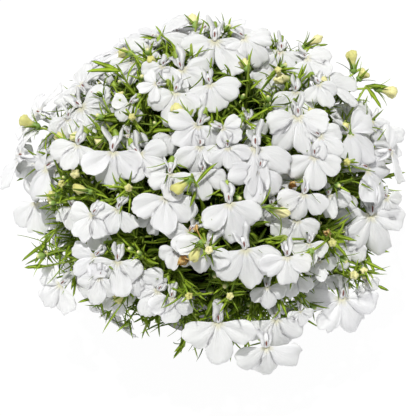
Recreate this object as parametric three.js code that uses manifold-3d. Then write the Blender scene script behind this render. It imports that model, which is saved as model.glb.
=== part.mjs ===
// Potted edging lobelia: a round white mound of large-lipped blooms on thin leafy stems,
// standing in the compost of a plain plastic pot. Millimetres, +Z up.
// The origin is the middle of the pot's foot, and the front of the mound faces -Y.
import * as THREE from "three";
import { mergeVertices } from "three/addons/utils/BufferGeometryUtils.js";
import Module from "manifold-3d";

const wasm = await Module();
wasm.setup();

// Driving dimensions of the pot and its compost
const POT_HEIGHT = 64;
const POT_FOOT_RADIUS = 29;
const POT_RIM_RADIUS = 43;
const POT_WALL = 1.8;
const POT_FLOOR = 2.4;
const RIM_BAND_HEIGHT = 9;
const RIM_BAND_OUT = 1.8;
const DRAIN_HOLES = 6;
const DRAIN_RADIUS = 2.6;
const DRAIN_CIRCLE = 18;
const COMPOST_TOP = 57;
const COMPOST_CROWN = 1;
const SEAT_GAP = 0.3;
const STEM_HOLE_DEPTH = 7;
const ROUND_SIDES = 22;

// Driving dimensions of the mound: the throats of the blooms lie on this egg
const MOUND_CENTRE = new THREE.Vector3(0, 0, 68);
const MOUND_RADIUS = 66;
const MOUND_UP = 52;
const MOUND_DOWN = 45;

// The photographed view, in which the front blooms, buds and shoots are placed.
// Its pixels are those of the square photograph.
const VIEW_ELEVATION = THREE.MathUtils.degToRad(57);
const VIEW_DISTANCE = 650;
const MM_PER_PIXEL = 0.39;
const PICTURE_MIDDLE = [206, 208];
const MOUND_PIXEL = [206, 186];
const FACE_THE_MOUND = 0.35;

// Shape of a bloom, in parts of its width
const LOBE_ANGLES = { 3: [58, 0, -58], 4: [78, 28, -28, -78] };
const LOBE_LENGTHS = { 3: [0.57, 0.63, 0.57], 4: [0.54, 0.6, 0.6, 0.54] };
const LOBE_WIDTHS = { 3: 0.4, 4: 0.35 };
const LOBE_MIDDLE = 0.6;
const LOBE_WIDEST = 0.72;
const LOBE_END = 0.95;
const LOBE_RISE = 0.03;
const MEETING_SHARES = [0.25, 0.4, 0.55, 0.7];
const RIDGE_OFFSET = 3.2;
const PETAL_HALF_THICKNESS = 0.5;
const TUBE_LENGTH = 0.36;
const MOUTH_RADIUS = 0.1;
const TUBE_END = 0.055;
const TUBE_BACK = 0.75;
const TUBE_RISE = 0.65;
const UPPER_LOBE = { length: 0.3, spread: 25, back: 0.15, under: 0.045 };

// Stems, calyces, buds and leaves
const STEM_RADIUS = 1.7;
const LIMB_RADIUS = 0.5;
const LIMB_REACH = 24;
const LIMB_TRIES = 24;
const STRAIGHT_TRIES = 4;
const LONE_TRIES = 16;
const LIMB_SWAY = 0.7;
const NEAREST_STEMS = 5;
const CALYX_RADIUS = 1.5;
const CALYX_LENGTHS = [3, 1.8];
const BUD_RADIUS = 1.7;
const BUD_LENGTH = 7;
const LIFTS = [0, 1.5, 3, -1.5, 4.5, -3, 6, -5, 8, -7];
const LEAF_OUT = 0.7;
const LEAF_SUNK = 0.5;
const CLEARANCE = 0.3;
const LEAF = {
  width: 2.6,
  half: 0.45,
  middle: 0.18,
  shortest: 14,
  longest: 23,
  outline: [[0.4, -1], [1, 0], [0.4, 1]],
};

// Outline of a spray of three leaves, as shares of its length and half width
const SPRAY = {
  halfWidth: 0.5,
  outline: [[0.3, -0.3], [0.7, -1], [0.38, -0.18], [1, 0], [0.4, 0.2], [0.75, 1], [0.26, 0.3]],
};
const SEED = 20261;
const BUD_KEY = 1000;
const SHOOT_KEY = 1500;
const SPRAY_KEY = 2000;

// Rows of main stems round the pot's axis: how far out they are rooted, and the
// distances from the axis and heights that they pass on the way to their heads
const STEM_ROWS = [
  { name: "stems_low", count: 8, turn: 22.5, root: 22, way: [[25, 71], [38, 77], [47, 71]] },
  { name: "stems_middle", count: 6, turn: 0, root: 12, way: [[14, 70], [27, 86]] },
  { name: "stems_top", count: 1, turn: 0, root: 0, way: [[0, 74], [0, 92]] },
];

// Each row is one cluster of touching blooms, front bloom first. A bloom is
// [x, y of its throat, lip's angle from straight down, width, lobes], in the photograph's pixels.
const FRONT_CLUSTERS = [
  [[214.8, 40.4, 0, 69, 4], [243, 38, 40, 50, 3]],
  [[182.2, 68.9, 20, 58, 4], [163, 66, -20, 40, 3]],
  [[176, 92, -10, 50, 3], [157, 84, -75, 30, 3], [211, 82, 15, 50, 3]],
  [[150, 47, -45, 40, 3], [133, 62, -15, 42, 3]],
  [[198.3, 124.7, -25, 52, 4], [200, 146, 0, 50, 3], [203, 172, 5, 44, 3]],
  [[222, 128, 60, 36, 3], [228, 150, 10, 40, 3]],
  [[80.8, 107.1, 45, 60, 4], [68, 118, -10, 44, 3]],
  [[130, 104, -40, 34, 3]],
  [[280.2, 50.8, -8, 54, 3], [309.6, 57.5, 50, 45, 3], [273, 72, -10, 44, 3]],
  [[295.4, 91.4, 0, 48, 3], [318, 84, 20, 40, 3]],
  [[297.6, 116, 0, 62, 4], [326, 138, 50, 42, 3], [313.8, 155.6, 0, 53, 3]],
  [[369.9, 121.3, -5, 50, 4], [353.8, 141, 0, 28, 3], [347, 103, 10, 42, 3]],
  [[384, 136, 40, 44, 3], [374, 148, 5, 44, 3]],
  [[37.9, 159.9, -40, 52, 4], [58, 170, -20, 44, 3]],
  [[36.2, 201.9, 0, 58, 3], [71, 221.5, -15, 36, 3]],
  [[113.4, 151, -2, 63, 3], [78, 144, -20, 48, 3], [139.4, 153.5, 40, 55, 3]],
  [[117.9, 208.6, -22, 48, 3], [92, 217, -35, 46, 3]],
  [[165.8, 196.3, -5, 59, 3], [170, 172, 0, 44, 3]],
  [[229.6, 202.5, 8, 64, 3]],
  [[255.1, 146.7, 0, 71, 3], [259, 168, -12, 55, 3]],
  [[245.2, 248.5, 10, 64, 3], [289.3, 259, 3, 50, 3], [195, 236, -30, 52, 3]],
  [[304, 193.6, -10, 46, 3]],
  [[370.4, 214.1, 0, 73, 4], [338, 195, 0, 40, 3], [386, 198, 30, 36, 3], [346, 244, -10, 44, 3]],
  [[297, 220, 0, 48, 3], [309, 243, 0, 36, 3]],
  [[61, 284, -47, 50, 3]],
  [[117.8, 260.4, -3, 54, 3], [95.9, 255.4, -45, 46, 3], [100, 276, -20, 44, 3]],
  [[158, 290, -35, 46, 3], [138, 272, 10, 44, 3], [172, 297, -5, 44, 3]],
  [[217.9, 321.6, 0, 68, 3]],
  [[276, 318.5, 5, 56, 3], [258.9, 365, 5, 63, 3], [302, 308, 10, 26, 3]],
  [[341.6, 297.1, 0, 71, 4], [322, 274, 0, 40, 3], [368, 279, 20, 30, 3]],
];

// Buds in the photograph's pixels: tip then base, or one point where the bud faces the camera
const BUDS = [
  [19.6, 119, 39, 127],
  [58, 137, 66, 142],
  [72, 137, 89, 136],
  [96, 136],
  [96, 143, 106, 138],
  [120, 94, 122, 102],
  [132, 117],
  [121, 53, 137, 54],
  [192.5, 18, 199, 34],
  [180, 55, 191, 54],
  [173, 107, 189, 115],
  [195, 101, 197, 112],
  [244, 62, 248, 70],
  [228, 128, 243, 117],
  [151, 60],
  [322, 37, 300, 49],
  [275.7, 79, 295, 78],
  [350.7, 51, 354, 74],
  [396.5, 93, 370, 87],
  [366, 72, 358, 80],
  [319, 79, 331, 91],
  [308, 113, 318, 115],
  [342.5, 123.6, 350, 135],
  [278, 70],
  [75, 173.7],
  [61.6, 183.6],
  [49, 197, 60, 195],
  [75, 188, 94, 192.5],
  [128.6, 188],
  [45.5, 254],
  [173, 192, 192, 178],
  [192, 260.5, 202, 241],
  [209, 250],
  [288, 214, 262, 206],
  [378, 173, 360, 174],
  [396, 204, 377, 190],
  [332.5, 242.7],
  [322.7, 249.8],
  [302, 263, 312, 250],
  [354, 275],
  [364, 271],
  [347, 162],
  [115.5, 299, 130, 289],
  [189, 296],
  [230, 296],
];

// Leafy shoot tips at the edge of the mound, and the tips of their leaves, in the same pixels
const SHOOTS = [
  { at: [120.5, 71], tips: [[87.5, 58], [83, 66.6], [100, 79]] },
  { at: [157, 41], tips: [[138, 34]] },
  { at: [277.5, 46.8], tips: [[273, 29]] },
  { at: [310, 47], tips: [[329.6, 41.5]] },
  { at: [366, 86], tips: [[383.6, 108.6], [390, 85.6]] },
  { at: [377, 179], tips: [[408.4, 168]] },
  { at: [359, 258], tips: [[388.8, 272]] },
  { at: [377, 285], tips: [[390, 291]] },
  { at: [45, 129], tips: [[21.8, 129]] },
  { at: [46.8, 266], tips: [[21.8, 266]] },
  { at: [100, 297], tips: [[75, 301.5], [104.8, 317.5]] },
  { at: [122.7, 303], tips: [[99, 333.6], [135, 322.9]] },
  { at: [184, 346.6], tips: [[172, 358.7]] },
  { at: [249, 345.7], tips: [[245.5, 366], [268.8, 339.5]] },
];

// Shoots round the back: latitude on the mound, azimuths from +Y, leaves on each
const BACK_SHOOTS = { latitude: -6, from: -112, to: 112, count: 8, leaves: 3 };

// Rows of clusters round the back and sides, which the photograph hides:
// latitude on the mound, first and last azimuth from +Y, and how many
const BACK_ROWS = [
  { latitude: -24, from: -122.5, to: 122.5, clusters: 8 },
  { latitude: 12, from: -86, to: 86, clusters: 5 },
];
const BACK_TEMPLATE = [[0, 0], [17, 6], [-16, -8]];
const BACK_WIDTHS = [23, 27];
const LIFT_STEP = 1.5;
const LIFT_TRIES = 16;

const degrees = THREE.MathUtils.degToRad;
const right = new THREE.Vector3(1, 0, 0);
const forward = new THREE.Vector3(0, Math.cos(VIEW_ELEVATION), -Math.sin(VIEW_ELEVATION));
const upward = new THREE.Vector3(0, Math.sin(VIEW_ELEVATION), Math.cos(VIEW_ELEVATION));
const target = along(MOUND_CENTRE, upward, (MOUND_PIXEL[1] - PICTURE_MIDDLE[1]) * MM_PER_PIXEL);
const camera = along(target, forward, -VIEW_DISTANCE);

// Point at a distance from another, along a direction
function along(point, direction, distance) {
  return point.clone().addScaledVector(direction, distance);
}

// Seeded draw between 0 and 1 for a list of whole numbers
function draw(...keys) {
  let hash = SEED;
  for (const key of keys) {
    hash = Math.imul(hash ^ (key + 1), 0x9e3779b1) >>> 0;
    hash = (hash ^ (hash >>> 15)) >>> 0;
  }
  hash = Math.imul(hash, 0x85ebca6b) >>> 0;
  hash = (hash ^ (hash >>> 13)) >>> 0;
  return hash / 4294967296;
}

function pick(low, high, ...keys) {
  return low + (high - low) * draw(...keys);
}

// Closed body from points and triangles
function solidFrom(points, triangles) {
  const vertProperties = new Float32Array(points.flatMap((point) => [point.x, point.y, point.z]));
  const triVerts = new Uint32Array(triangles.flat());
  return new wasm.Manifold(new wasm.Mesh({ numProp: 3, vertProperties, triVerts }));
}

// Closed body from a three.js geometry
function solidOf(geometry) {
  const bare = geometry.clone();
  bare.deleteAttribute("normal");
  bare.deleteAttribute("uv");
  const merged = mergeVertices(bare, 1e-4);
  const vertProperties = new Float32Array(merged.attributes.position.array);
  const triVerts = new Uint32Array(merged.index.array);
  return new wasm.Manifold(new wasm.Mesh({ numProp: 3, vertProperties, triVerts }));
}

function geometryOf(solid) {
  const mesh = solid.getMesh();
  const geometry = new THREE.BufferGeometry();
  geometry.setAttribute("position", new THREE.BufferAttribute(mesh.vertProperties, 3));
  geometry.setIndex(new THREE.BufferAttribute(mesh.triVerts, 1));
  geometry.computeVertexNormals();
  return geometry;
}

function joined(solids) {
  return solids.reduce((whole, solid) => whole.add(solid));
}

// Where a pixel's ray first meets the mound, or passes it closest
function onMound(x, y) {
  const ray = forward.clone().multiplyScalar(VIEW_DISTANCE);
  ray.addScaledVector(right, (x - PICTURE_MIDDLE[0]) * MM_PER_PIXEL);
  ray.addScaledVector(upward, (PICTURE_MIDDLE[1] - y) * MM_PER_PIXEL);
  const upper = along(camera, ray, firstMeeting(ray, MOUND_UP));
  if (upper.z >= MOUND_CENTRE.z) {
    return upper;
  }
  return along(camera, ray, firstMeeting(ray, MOUND_DOWN));
}

function firstMeeting(ray, height) {
  const scale = new THREE.Vector3(1 / MOUND_RADIUS, 1 / MOUND_RADIUS, 1 / height);
  const start = camera.clone().sub(MOUND_CENTRE).multiply(scale);
  const way = ray.clone().multiply(scale);
  const a = way.dot(way);
  const b = start.dot(way);
  const rest = b * b - a * (start.dot(start) - 1);
  return (-b - Math.sqrt(Math.max(rest, 0))) / a;
}

function moundNormal(point) {
  const from = point.clone().sub(MOUND_CENTRE);
  const height = from.z >= 0 ? MOUND_UP : MOUND_DOWN;
  return new THREE.Vector3(
    from.x / MOUND_RADIUS ** 2,
    from.y / MOUND_RADIUS ** 2,
    from.z / height ** 2,
  ).normalize();
}

// A bloom's own frame: its throat, the way it faces, the way its lip points and its side
function bloomFrame(throat, facing, hang, width, lobes) {
  const lip = hang.clone().addScaledVector(facing, -hang.dot(facing)).normalize();
  const side = lip.clone().cross(facing);
  const tube = facing.clone().multiplyScalar(-TUBE_BACK).addScaledVector(lip, -TUBE_RISE).normalize();
  return { throat, facing, lip, side, tube, width, lobes };
}

function photoBloom([x, y, turn, pixels, lobes]) {
  const throat = onMound(x, y);
  const toCamera = camera.clone().sub(throat).normalize();
  const facing = toCamera.clone().lerp(moundNormal(throat), FACE_THE_MOUND).normalize();
  const hang = upward.clone().multiplyScalar(-Math.cos(degrees(turn)));
  hang.addScaledVector(right, Math.sin(degrees(turn)));
  const depth = throat.clone().sub(camera).dot(forward);
  const width = (pixels * MM_PER_PIXEL * depth) / VIEW_DISTANCE;
  return bloomFrame(throat, facing, hang, width, lobes);
}

// Point of a bloom from its side, lip and facing coordinates, in parts of its width
function inBloom(bloom, side, lip, facing) {
  return bloom.throat
    .clone()
    .addScaledVector(bloom.side, side * bloom.width)
    .addScaledVector(bloom.lip, lip * bloom.width)
    .addScaledVector(bloom.facing, facing * bloom.width);
}

// Point of a lobe, from its distance along the lobe and across it
function inLobe(bloom, angle, out, across, height) {
  const turn = degrees(angle);
  const side = Math.sin(turn) * out - Math.cos(turn) * across;
  const lip = Math.cos(turn) * out + Math.sin(turn) * across;
  return inBloom(bloom, side, lip, height);
}

// Point on the ridge of a lobe: it rises to its middle and falls to its end
function onLobe(bloom, index, share) {
  const length = LOBE_LENGTHS[bloom.lobes][index];
  const rise = share / LOBE_MIDDLE;
  const fall = (share - LOBE_MIDDLE) / (LOBE_END - LOBE_MIDDLE);
  const height = share < LOBE_MIDDLE ? LOBE_RISE * rise : LOBE_RISE * (1 - 2 * fall);
  return inLobe(bloom, LOBE_ANGLES[bloom.lobes][index], length * share, 0, height);
}

// A whole bloom as one closed body: the lobes of its lip, thickest down their middles,
// its two small upper lobes, and the tube that narrows behind the throat
function bloomSolid(bloom) {
  const angles = LOBE_ANGLES[bloom.lobes];
  const lengths = LOBE_LENGTHS[bloom.lobes];
  const halfWidth = LOBE_WIDTHS[bloom.lobes] / 2;
  const halfEnd = halfWidth * 0.66;
  const between = (angles[0] - angles[1]) / 2;
  const points = [];
  const triangles = [];
  const add = (point) => points.push(point) - 1;
  const fan = (middle, rim) => {
    for (let i = 0; i + 1 < rim.length; i += 1) {
      triangles.push([middle, rim[i], rim[i + 1]]);
    }
  };
  const throat = add(along(bloom.throat, bloom.facing, PETAL_HALF_THICKNESS));
  const mouth = [add(inLobe(bloom, angles[0] + between, MOUTH_RADIUS, 0, 0))];
  angles.forEach((angle, index) => {
    const length = lengths[index];
    const rim = [
      mouth[index],
      add(inLobe(bloom, angle, length * LOBE_WIDEST, -halfWidth, 0)),
      add(inLobe(bloom, angle, length * LOBE_END, -halfEnd, -LOBE_RISE)),
      add(inLobe(bloom, angle, length * LOBE_END, halfEnd, -LOBE_RISE)),
      add(inLobe(bloom, angle, length * LOBE_WIDEST, halfWidth, 0)),
      add(inLobe(bloom, angle - between, MOUTH_RADIUS * (index + 1 < angles.length ? 1.5 : 1), 0, 0)),
    ];
    mouth.push(rim[rim.length - 1]);
    const middle = onLobe(bloom, index, LOBE_MIDDLE);
    const top = add(along(middle, bloom.facing, PETAL_HALF_THICKNESS));
    const bottom = add(along(middle, bloom.facing, -PETAL_HALF_THICKNESS));
    fan(top, [throat, ...rim, throat]);
    fan(bottom, [rim[0], ...rim.slice().reverse()]);
  });
  const crown = add(inBloom(bloom, 0, -MOUTH_RADIUS, 0));
  for (const way of [-1, 1]) {
    const spread = degrees(UPPER_LOBE.spread) * way;
    const out = MOUTH_RADIUS + UPPER_LOBE.length;
    const back = -UPPER_LOBE.back * UPPER_LOBE.length;
    const tip = add(inBloom(bloom, Math.sin(spread) * out, -Math.cos(spread) * out, back));
    const under = add(inBloom(bloom, 0.07 * way, -MOUTH_RADIUS * 1.6, -UPPER_LOBE.under));
    const rim = way < 0 ? [mouth[mouth.length - 1], tip, crown] : [crown, tip, mouth[0]];
    fan(throat, rim);
    fan(under, [rim[0], ...rim.slice().reverse()]);
  }
  mouth.push(crown);
  const tubeEnd = along(bloom.throat, bloom.tube, TUBE_LENGTH * bloom.width);
  const below = along(bloom.lip, bloom.tube, -bloom.lip.dot(bloom.tube)).normalize();
  const end = [];
  for (let corner = 0; corner < 3; corner += 1) {
    const turn = degrees(30 + 120 * corner);
    const aside = along(tubeEnd, bloom.side, Math.cos(turn) * TUBE_END * bloom.width);
    end.push(add(aside.addScaledVector(below, Math.sin(turn) * TUBE_END * bloom.width)));
  }
  triangles.push([end[0], end[2], end[1]]);
  const perCorner = mouth.length / 3;
  for (let i = 0; i < mouth.length; i += 1) {
    const next = (i + 1) % mouth.length;
    const corner = Math.floor(i / perCorner);
    const nextCorner = Math.floor(((i + 1) % mouth.length) / perCorner);
    triangles.push([mouth[i], end[corner], mouth[next]]);
    if (corner !== nextCorner) {
      triangles.push([mouth[next], end[corner], end[nextCorner]]);
    }
  }
  return solidFrom(points, triangles);
}

// Thin blade: its root, then corners [share of its length, share of its half width],
// round an upper and a lower middle
function blade(root, tip, across, halfWidth, halfThickness, corners) {
  const way = tip.clone().sub(root);
  const length = way.length();
  way.normalize();
  const level = across.clone().addScaledVector(way, -across.dot(way)).normalize();
  const face = level.clone().cross(way);
  const middle = along(root, way, length * LEAF.middle);
  const rim = corners.map(([out, aside]) => along(along(root, way, length * out), level, halfWidth * aside));
  const points = [root, ...rim, along(middle, face, -halfThickness), along(middle, face, halfThickness)];
  const triangles = [];
  for (let i = 0; i <= rim.length; i += 1) {
    const next = (i + 1) % (rim.length + 1);
    triangles.push([rim.length + 1, i, next]);
    triangles.push([rim.length + 2, next, i]);
  }
  return solidFrom(points, triangles);
}

// Tapered limb with flat ends through a row of points
function limb(points, radii, sides) {
  const ring = [];
  const start = points[1].clone().sub(points[0]).normalize();
  const helper = Math.abs(start.z) > 0.8 ? right : new THREE.Vector3(0, 0, 1);
  let normal = new THREE.Vector3().crossVectors(start, helper).normalize();
  points.forEach((point, index) => {
    const before = points[Math.max(index - 1, 0)];
    const after = points[Math.min(index + 1, points.length - 1)];
    const way = after.clone().sub(before).normalize();
    normal = normal.clone().addScaledVector(way, -normal.dot(way)).normalize();
    const other = new THREE.Vector3().crossVectors(way, normal);
    for (let side = 0; side < sides; side += 1) {
      const turn = (2 * Math.PI * side) / sides;
      const place = along(point, normal, Math.cos(turn) * radii[index]);
      ring.push(place.addScaledVector(other, Math.sin(turn) * radii[index]));
    }
  });
  const triangles = [];
  for (let row = 0; row + 1 < points.length; row += 1) {
    for (let side = 0; side < sides; side += 1) {
      const a = row * sides + side;
      const b = row * sides + ((side + 1) % sides);
      triangles.push([a, b, b + sides], [a, b + sides, a + sides]);
    }
  }
  const end = (points.length - 1) * sides;
  for (let side = 1; side + 1 < sides; side += 1) {
    triangles.push([0, side + 1, side], [end, end + side, end + side + 1]);
  }
  return solidFrom(ring, triangles);
}

// Slides each later bloom of a cluster, mostly along the line of sight, until the ridge of
// its nearest lobe meets the ridge of a lobe before it
function settle(blooms, sight) {
  blooms.forEach((bloom, index) => {
    if (index === 0) {
      return;
    }
    let best = null;
    for (const other of blooms.slice(0, index)) {
      for (let i = 0; i < other.lobes; i += 1) {
        for (let j = 0; j < bloom.lobes; j += 1) {
          for (const share of MEETING_SHARES) {
            for (const ownShare of MEETING_SHARES) {
              const from = onLobe(other, i, share);
              const to = onLobe(bloom, j, ownShare);
              const apart = from.clone().sub(to);
              const distance = apart.addScaledVector(sight, -apart.dot(sight)).length();
              if (best === null || distance < best.distance) {
                best = { distance, from, to };
              }
            }
          }
        }
      }
    }
    const gap = best.from.clone().sub(best.to);
    const depth = gap.dot(sight);
    const aside = gap.addScaledVector(sight, -depth);
    bloom.throat.addScaledVector(sight, depth);
    bloom.throat.addScaledVector(aside, Math.max(0, 1 - RIDGE_OFFSET / best.distance));
  });
}

function frontClusters() {
  return FRONT_CLUSTERS.map((rows, index) => {
    const blooms = rows.map(photoBloom);
    const sight = camera.clone().sub(blooms[0].throat).normalize();
    settle(blooms, sight);
    return { name: `blooms_front_${String(index + 1).padStart(2, "0")}`, blooms, sight };
  });
}

function backClusters(photographed) {
  const clusters = [];
  BACK_ROWS.forEach((row, rowIndex) => {
    for (let place = 0; place < row.clusters; place += 1) {
      const share = place / (row.clusters - 1);
      const azimuth = degrees(row.from + (row.to - row.from) * share);
      const out = new THREE.Vector3(Math.sin(azimuth), Math.cos(azimuth), 0);
      const beside = new THREE.Vector3(Math.cos(azimuth), -Math.sin(azimuth), 0);
      const blooms = [];
      BACK_TEMPLATE.forEach(([aside, above], member) => {
        const keys = [rowIndex, place, member];
        const flip = place % 2 === 0 ? 1 : -1;
        const throat = backThroat(out, beside, row.latitude, aside * flip, above, keys);
        const crowded = photographed.some((bloom) => bloom.throat.distanceTo(throat) < 15);
        if (member === 0 || !crowded) {
          blooms.push(backBloom(throat, keys));
        }
      });
      const sight = blooms[0].facing.clone();
      settle(blooms, sight);
      const name = `blooms_back_${String(clusters.length + 1).padStart(2, "0")}`;
      clusters.push({ name, blooms, sight });
    }
  });
  return clusters;
}

// Throat on the mound at a distance beside and above a row's point
function backThroat(out, beside, latitude, aside, above, keys) {
  const jitter = pick(-2, 2, ...keys, 1);
  const angle = degrees(latitude) + (above + jitter) / MOUND_RADIUS;
  const height = angle >= 0 ? MOUND_UP : MOUND_DOWN;
  const radius = MOUND_RADIUS * Math.cos(angle);
  const turn = (aside + pick(-2, 2, ...keys, 2)) / radius;
  const throat = MOUND_CENTRE.clone();
  throat.addScaledVector(out, radius * Math.cos(turn));
  throat.addScaledVector(beside, radius * Math.sin(turn));
  throat.z += height * Math.sin(angle);
  return throat;
}

function backBloom(throat, keys) {
  const facing = moundNormal(throat);
  facing.z += 0.35;
  facing.normalize();
  const turn = degrees(pick(-28, 28, ...keys, 3));
  const level = new THREE.Vector3(0, 0, 1).cross(facing).normalize();
  const hang = new THREE.Vector3(0, 0, -Math.cos(turn)).addScaledVector(level, Math.sin(turn));
  const width = pick(BACK_WIDTHS[0], BACK_WIDTHS[1], ...keys, 4);
  const lobes = draw(...keys, 5) < 0.25 ? 4 : 3;
  return bloomFrame(throat, facing, hang, width, lobes);
}

// The whole without scraps, and with any hollow that the join has sealed filled in
function largestPiece(solid) {
  return solid.decompose().sort((a, b) => b.volume() - a.volume())[0];
}

// Whether no two sheets of a solid touch along an edge
function isClean(solid) {
  const mesh = solid.getMesh();
  const corners = new Map();
  const ids = [];
  for (let i = 0; i < mesh.vertProperties.length; i += 3) {
    const place = Array.from(mesh.vertProperties.slice(i, i + 3), (value) => Math.round(value * 500));
    const key = place.join();
    if (!corners.has(key)) {
      corners.set(key, corners.size);
    }
    ids.push(corners.get(key));
  }
  const edges = new Set();
  for (let i = 0; i < mesh.triVerts.length; i += 3) {
    const triangle = Array.from(mesh.triVerts.slice(i, i + 3), (index) => ids[index]);
    for (let side = 0; side < 3; side += 1) {
      const edge = `${triangle[side]}_${triangle[(side + 1) % 3]}`;
      if (edges.has(edge)) {
        return false;
      }
      edges.add(edge);
    }
  }
  return true;
}

// Solids already in place: each with its owner's name and its box
const placed = [];

function place(owner, solid) {
  const box = solid.boundingBox();
  placed.push({ owner, solid, box });
  return placed[placed.length - 1];
}

function boxesMeet(a, b) {
  return [0, 1, 2].every((axis) => a.min[axis] <= b.max[axis] && b.min[axis] <= a.max[axis]);
}

// Whether a solid keeps out of everything in place but the carriers it grows from
function isFree(solid, carriers = []) {
  const box = solid.boundingBox();
  return placed.every((other) => {
    const apart = carriers.includes(other) || !boxesMeet(box, other.box);
    return apart || solid.intersect(other.solid).isEmpty();
  });
}

// Lifts a cluster by the least step, out or in, that keeps it clear of those already placed,
// with room for the calyx behind each of its tubes
function placeCluster(cluster) {
  const nominal = largestPiece(joined(cluster.blooms.map(bloomSolid)));
  const stubs = cluster.blooms.map((bloom) => {
    const radii = [LIMB_RADIUS + CLEARANCE, CALYX_RADIUS + CLEARANCE];
    return limb(calyxPoints(bloom, CALYX_LENGTHS[0]), radii, 3);
  });
  for (let attempt = 0; attempt < LIFT_TRIES; attempt += 1) {
    const way = attempt % 2 === 1 ? 1 : -1;
    const shift = cluster.sight.clone().multiplyScalar(Math.ceil(attempt / 2) * LIFT_STEP * way);
    const margin = cluster.sight.clone().multiplyScalar(CLEARANCE);
    const solid = nominal.translate(shift.toArray());
    const sides = [solid.translate(margin.toArray()), solid.translate(margin.negate().toArray())];
    const calyces = stubs.map((stub) => stub.translate(shift.toArray()));
    if ([...sides, ...calyces].every((part) => isFree(part))) {
      cluster.solid = place(cluster.name, solid).solid;
      cluster.blooms.forEach((bloom, index) => {
        bloom.throat.add(shift);
        bloom.kept = place("calyx", calyces[index]);
      });
      return;
    }
  }
  throw new Error(`${cluster.name} finds no clear place`);
}

// The plain pot: one turned wall with a rim band outside and drain holes off the middle
function potSolid() {
  const slope = (POT_RIM_RADIUS - POT_FOOT_RADIUS) / POT_HEIGHT;
  const outer = (height) => POT_FOOT_RADIUS + slope * height;
  const bandFoot = POT_HEIGHT - RIM_BAND_HEIGHT;
  const profile = [
    [0, 0],
    [POT_FOOT_RADIUS, 0],
    [outer(bandFoot), bandFoot],
    [outer(bandFoot) + RIM_BAND_OUT, bandFoot],
    [outer(POT_HEIGHT) + RIM_BAND_OUT, POT_HEIGHT],
    [outer(POT_HEIGHT) - POT_WALL, POT_HEIGHT],
    [outer(POT_FLOOR) - POT_WALL, POT_FLOOR],
    [0, POT_FLOOR],
  ];
  const points = profile.map(([radius, height]) => new THREE.Vector2(radius, height));
  const lathe = new THREE.LatheGeometry(points, ROUND_SIDES);
  lathe.rotateX(Math.PI / 2);
  let pot = solidOf(lathe);
  for (let hole = 0; hole < DRAIN_HOLES; hole += 1) {
    const turn = (2 * Math.PI * hole) / DRAIN_HOLES;
    const drill = new THREE.CylinderGeometry(DRAIN_RADIUS, DRAIN_RADIUS, POT_FLOOR * 3, 6);
    drill.rotateX(Math.PI / 2);
    drill.translate(Math.cos(turn) * DRAIN_CIRCLE, Math.sin(turn) * DRAIN_CIRCLE, POT_FLOOR / 2);
    pot = pot.subtract(solidOf(drill));
  }
  return pot;
}

// The compost that fills the pot, with a plain hole for each stem
function compostSolid(stems) {
  const slope = (POT_RIM_RADIUS - POT_FOOT_RADIUS) / POT_HEIGHT;
  const inner = (height) => POT_FOOT_RADIUS + slope * height - POT_WALL - SEAT_GAP;
  const foot = POT_FLOOR + SEAT_GAP;
  const profile = [
    [0, foot],
    [inner(foot), foot],
    [inner(COMPOST_TOP), COMPOST_TOP],
    [0, COMPOST_TOP + COMPOST_CROWN],
  ];
  const points = profile.map(([radius, height]) => new THREE.Vector2(radius, height));
  const lathe = new THREE.LatheGeometry(points, ROUND_SIDES);
  lathe.rotateX(Math.PI / 2);
  const holes = stems.map((stem) => {
    const radius = STEM_RADIUS + SEAT_GAP * 2;
    const drill = new THREE.CylinderGeometry(radius, radius, STEM_HOLE_DEPTH * 2, 6);
    drill.rotateX(Math.PI / 2);
    drill.translate(stem.path[0].x, stem.path[0].y, COMPOST_TOP);
    return solidOf(drill);
  });
  return holes.reduce((compost, hole) => compost.subtract(hole), solidOf(lathe));
}

// The main stems: each rises from its hole and arches out to its head
function mainStems() {
  const stems = [];
  for (const row of STEM_ROWS) {
    for (let index = 0; index < row.count; index += 1) {
      const azimuth = degrees(row.turn + (360 * index) / row.count);
      const out = new THREE.Vector3(Math.sin(azimuth), Math.cos(azimuth), 0);
      const foot = [row.root, COMPOST_TOP - STEM_HOLE_DEPTH + SEAT_GAP];
      const collar = [row.root, COMPOST_TOP + COMPOST_CROWN + 1];
      const path = [foot, collar, ...row.way].map(([radius, height]) => {
        const point = out.clone().multiplyScalar(radius);
        point.z = height;
        return point;
      });
      const radii = path.map((point, step) => STEM_RADIUS - (0.4 * step) / (path.length - 1));
      stems.push({ name: `${row.name}_${index + 1}`, path, whole: limb(path, radii, 3) });
    }
  }
  return stems;
}

// Tries thin limbs from the nearest stems to the points that end it until one is free.
// Returns the limb's points, or nothing if none is free.
function growLimb(stems, ending, endRadii, key, tries = LIMB_TRIES) {
  const joint = ending[0];
  const near = [...stems].sort((a, b) => headOf(a).distanceTo(joint) - headOf(b).distanceTo(joint));
  for (const stem of near.slice(0, NEAREST_STEMS)) {
    for (let attempt = 0; attempt < tries; attempt += 1) {
      const points = limbPoints(stem, ending, key, attempt);
      const radii = [...points.slice(ending.length).map(() => LIMB_RADIUS), ...endRadii];
      const wide = radii.map((radius) => radius + CLEARANCE);
      const joins = attempt < LONE_TRIES ? ["free"] : ["free", stem.name];
      const carriers = placed.filter((other) => joins.includes(other.owner));
      const solid = limb(points, radii, 3);
      if (isFree(limb(points, wide, 3), [stem.piece, ...carriers]) && joinTo(stem, solid)) {
        return { stem, points, pieces: [place(stem.name, solid)] };
      }
    }
  }
  return null;
}

// Joins a solid to a stem unless the join would leave touching sheets
function joinTo(stem, solid) {
  const whole = stem.whole.add(solid);
  if (!isClean(whole)) {
    return false;
  }
  stem.whole = whole;
  return true;
}

function headOf(stem) {
  return stem.path[stem.path.length - 1];
}

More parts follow.
